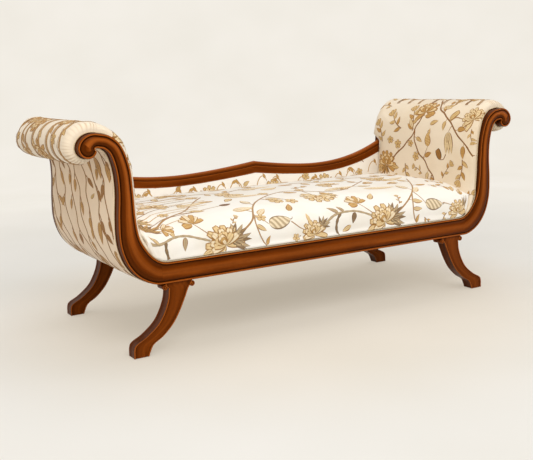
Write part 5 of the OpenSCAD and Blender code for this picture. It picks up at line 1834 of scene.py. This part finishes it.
# Camera, at the photograph's place
PHOTO_WIDE, SENSOR_WIDE, FOCAL_PX = 533.0, 36.0, 846.51667
YAW, PITCH, ROLL = (math.radians(a) for a in (31.34280796, -10.48985579, -1.54408107))
CAMERA_PLACE = (-1.99678595, -3.16012797, 1.02020199)


def camera():
    fwd = vec(math.sin(YAW) * math.cos(PITCH), math.cos(YAW) * math.cos(PITCH), math.sin(PITCH))
    right = vec(math.cos(YAW), -math.sin(YAW), 0)
    up = np.cross(right, fwd)
    r2 = math.cos(ROLL) * right + math.sin(ROLL) * up
    u2 = -math.sin(ROLL) * right + math.cos(ROLL) * up
    cam = bpy.data.objects.new("camera", bpy.data.cameras.new("camera"))
    bpy.context.scene.collection.objects.link(cam)
    m = Matrix.Identity(4)
    for i in range(3):
        m[i][0], m[i][1], m[i][2], m[i][3] = r2[i], u2[i], -fwd[i], CAMERA_PLACE[i]
    cam.matrix_world = m
    cam.data.sensor_fit = "HORIZONTAL"
    cam.data.sensor_width = SENSOR_WIDE
    cam.data.lens = FOCAL_PX * SENSOR_WIDE / PHOTO_WIDE
    cam.data.clip_end = 60.0
    bpy.context.scene.camera = cam


camera()


# Floor, backdrop and soft lights
def eased(nt, value, low, high, out_low=0.0, out_high=1.0):
    """A value's smooth rise between low and high."""
    n = node(nt, "ShaderNodeMapRange", interpolation_type="SMOOTHSTEP")
    link(nt, value, n.inputs["Value"])
    set_sockets(n, {"From Min": low, "From Max": high, "To Min": out_low, "To Max": out_high})
    return n.outputs[0]


# The floor in metres: half its width, where it begins and turns up, the turn's radius, and its top
FLOOR_HALF, FLOOR_FROM, FLOOR_TO, COVE, BACK_TOP, FLOOR_TURN = 14, -9, 4.5, 3, 9, -31
COVE_STEPS = 16


def stage():
    """A pale floor that turns up into a backdrop. What the camera sees of it is mostly its own pale colour,
    so that the background stays even, while the floor near the object keeps its shadow. Under the object
    the floor also has a warm painted shadow, in its paint and in its glow."""
    m, nt, bsdf = material("pale_floor")
    set_sockets(bsdf, {"Roughness": 0.9, "Specular IOR Level": 0.1})
    here = object_place(nt)
    tint = color_ramp(nt, [(0.3, srgb(240, 235, 225)), (0.7, srgb(244, 239, 230))],
                      noise(nt, here, 1.3, 2.0))
    glow = node(nt, "ShaderNodeEmission", Strength=1.0)
    rays = node(nt, "ShaderNodeLightPath")
    seen = math_node(nt, "MAXIMUM", rays.outputs["Is Camera Ray"],
                     math_node(nt, "MAXIMUM", rays.outputs["Is Glossy Ray"],
                               rays.outputs["Is Transmission Ray"]))
    away = node(nt, "ShaderNodeVectorMath", operation="LENGTH")
    link(nt, here, away.inputs[0])
    # Near and under the object the floor has a warm painted shadow, in its paint and its glow, and takes the
    # light; far from it, it glows evenly
    painted_shadow_fade = eased(nt, away.outputs["Value"], 0.7, 1.6)
    far = eased(nt, away.outputs["Value"], 1.3, 4.0, 0.52, 1.0)
    paint_with_painted_shadow = mix_color(nt, painted_shadow_fade, (0.84, 0.85, 0.87, 1), (0.88, 0.91, 0.96, 1))
    link(nt, mix_color(nt, 1.0, tint, paint_with_painted_shadow, "MULTIPLY"), bsdf.inputs["Base Color"])
    painted_shadow_glow = mix_color(nt, 1.0, tint, (0.97, 0.89, 0.78, 1), "MULTIPLY")
    link(nt, mix_color(nt, painted_shadow_fade, painted_shadow_glow, tint), glow.inputs["Color"])
    both = node(nt, "ShaderNodeMixShader")
    link(nt, math_node(nt, "MULTIPLY", seen, far), both.inputs[0])
    link(nt, bsdf.outputs[0], both.inputs[1])
    link(nt, glow.outputs[0], both.inputs[2])
    link(nt, both.outputs[0], [x for x in nt.nodes if x.type == "OUTPUT_MATERIAL"][0].inputs[0])
    prof = [(FLOOR_FROM + k * 4.5, 0.0) for k in range(4)]
    for k in range(1, COVE_STEPS + 1):
        a = math.pi / 2 * k / COVE_STEPS
        prof.append((FLOOR_TO + COVE * math.sin(a), COVE - COVE * math.cos(a)))
    prof.append((FLOOR_TO + COVE, BACK_TOP))
    turn = math.radians(FLOOR_TURN)
    c, s = math.cos(turn), math.sin(turn)
    verts = [(x * c - y * s, x * s + y * c, z) for x in (-FLOOR_HALF, FLOOR_HALF) for y, z in prof]
    dress(new_mesh("floor", verts, grid(2, len(prof)), None, None, 60), m)


stage()


def area(name, place, aim, size, power, colour):
    data = bpy.data.lights.new(name, "AREA")
    data.shape = "RECTANGLE"
    data.size, data.size_y = size
    data.energy = power
    data.color = colour
    ob = bpy.data.objects.new(name, data)
    ob.location = place
    ob.rotation_euler = (Vector(aim) - Vector(place)).to_track_quat("-Z", "Y").to_euler()
    bpy.context.scene.collection.objects.link(ob)


area("key", (-1.2, -3.6, 3.8), (0, 0, 0.4), (3.2, 2.4), 130, (1, 0.985, 0.96))
area("left", (-4.6, -1.4, 2.2), (0, 0, 0.5), (2.8, 2.4), 44, (1, 0.96, 0.90))
area("fill", (3.6, -2.6, 2.4), (0, 0, 0.4), (3.0, 2.4), 34, (1, 0.99, 0.98))
area("top", (0.2, 0.8, 4.2), (0, 0, 0.3), (4.5, 3.0), 66, (1, 0.99, 0.97))
world = bpy.data.worlds.new("world")
bpy.context.scene.world = world
world.use_nodes = True
sky = world.node_tree.nodes["Background"]
set_sockets(sky, {"Color": (1.0, 0.98, 0.95, 1), "Strength": 0.34})
bpy.context.scene.view_settings.view_transform = "Standard"
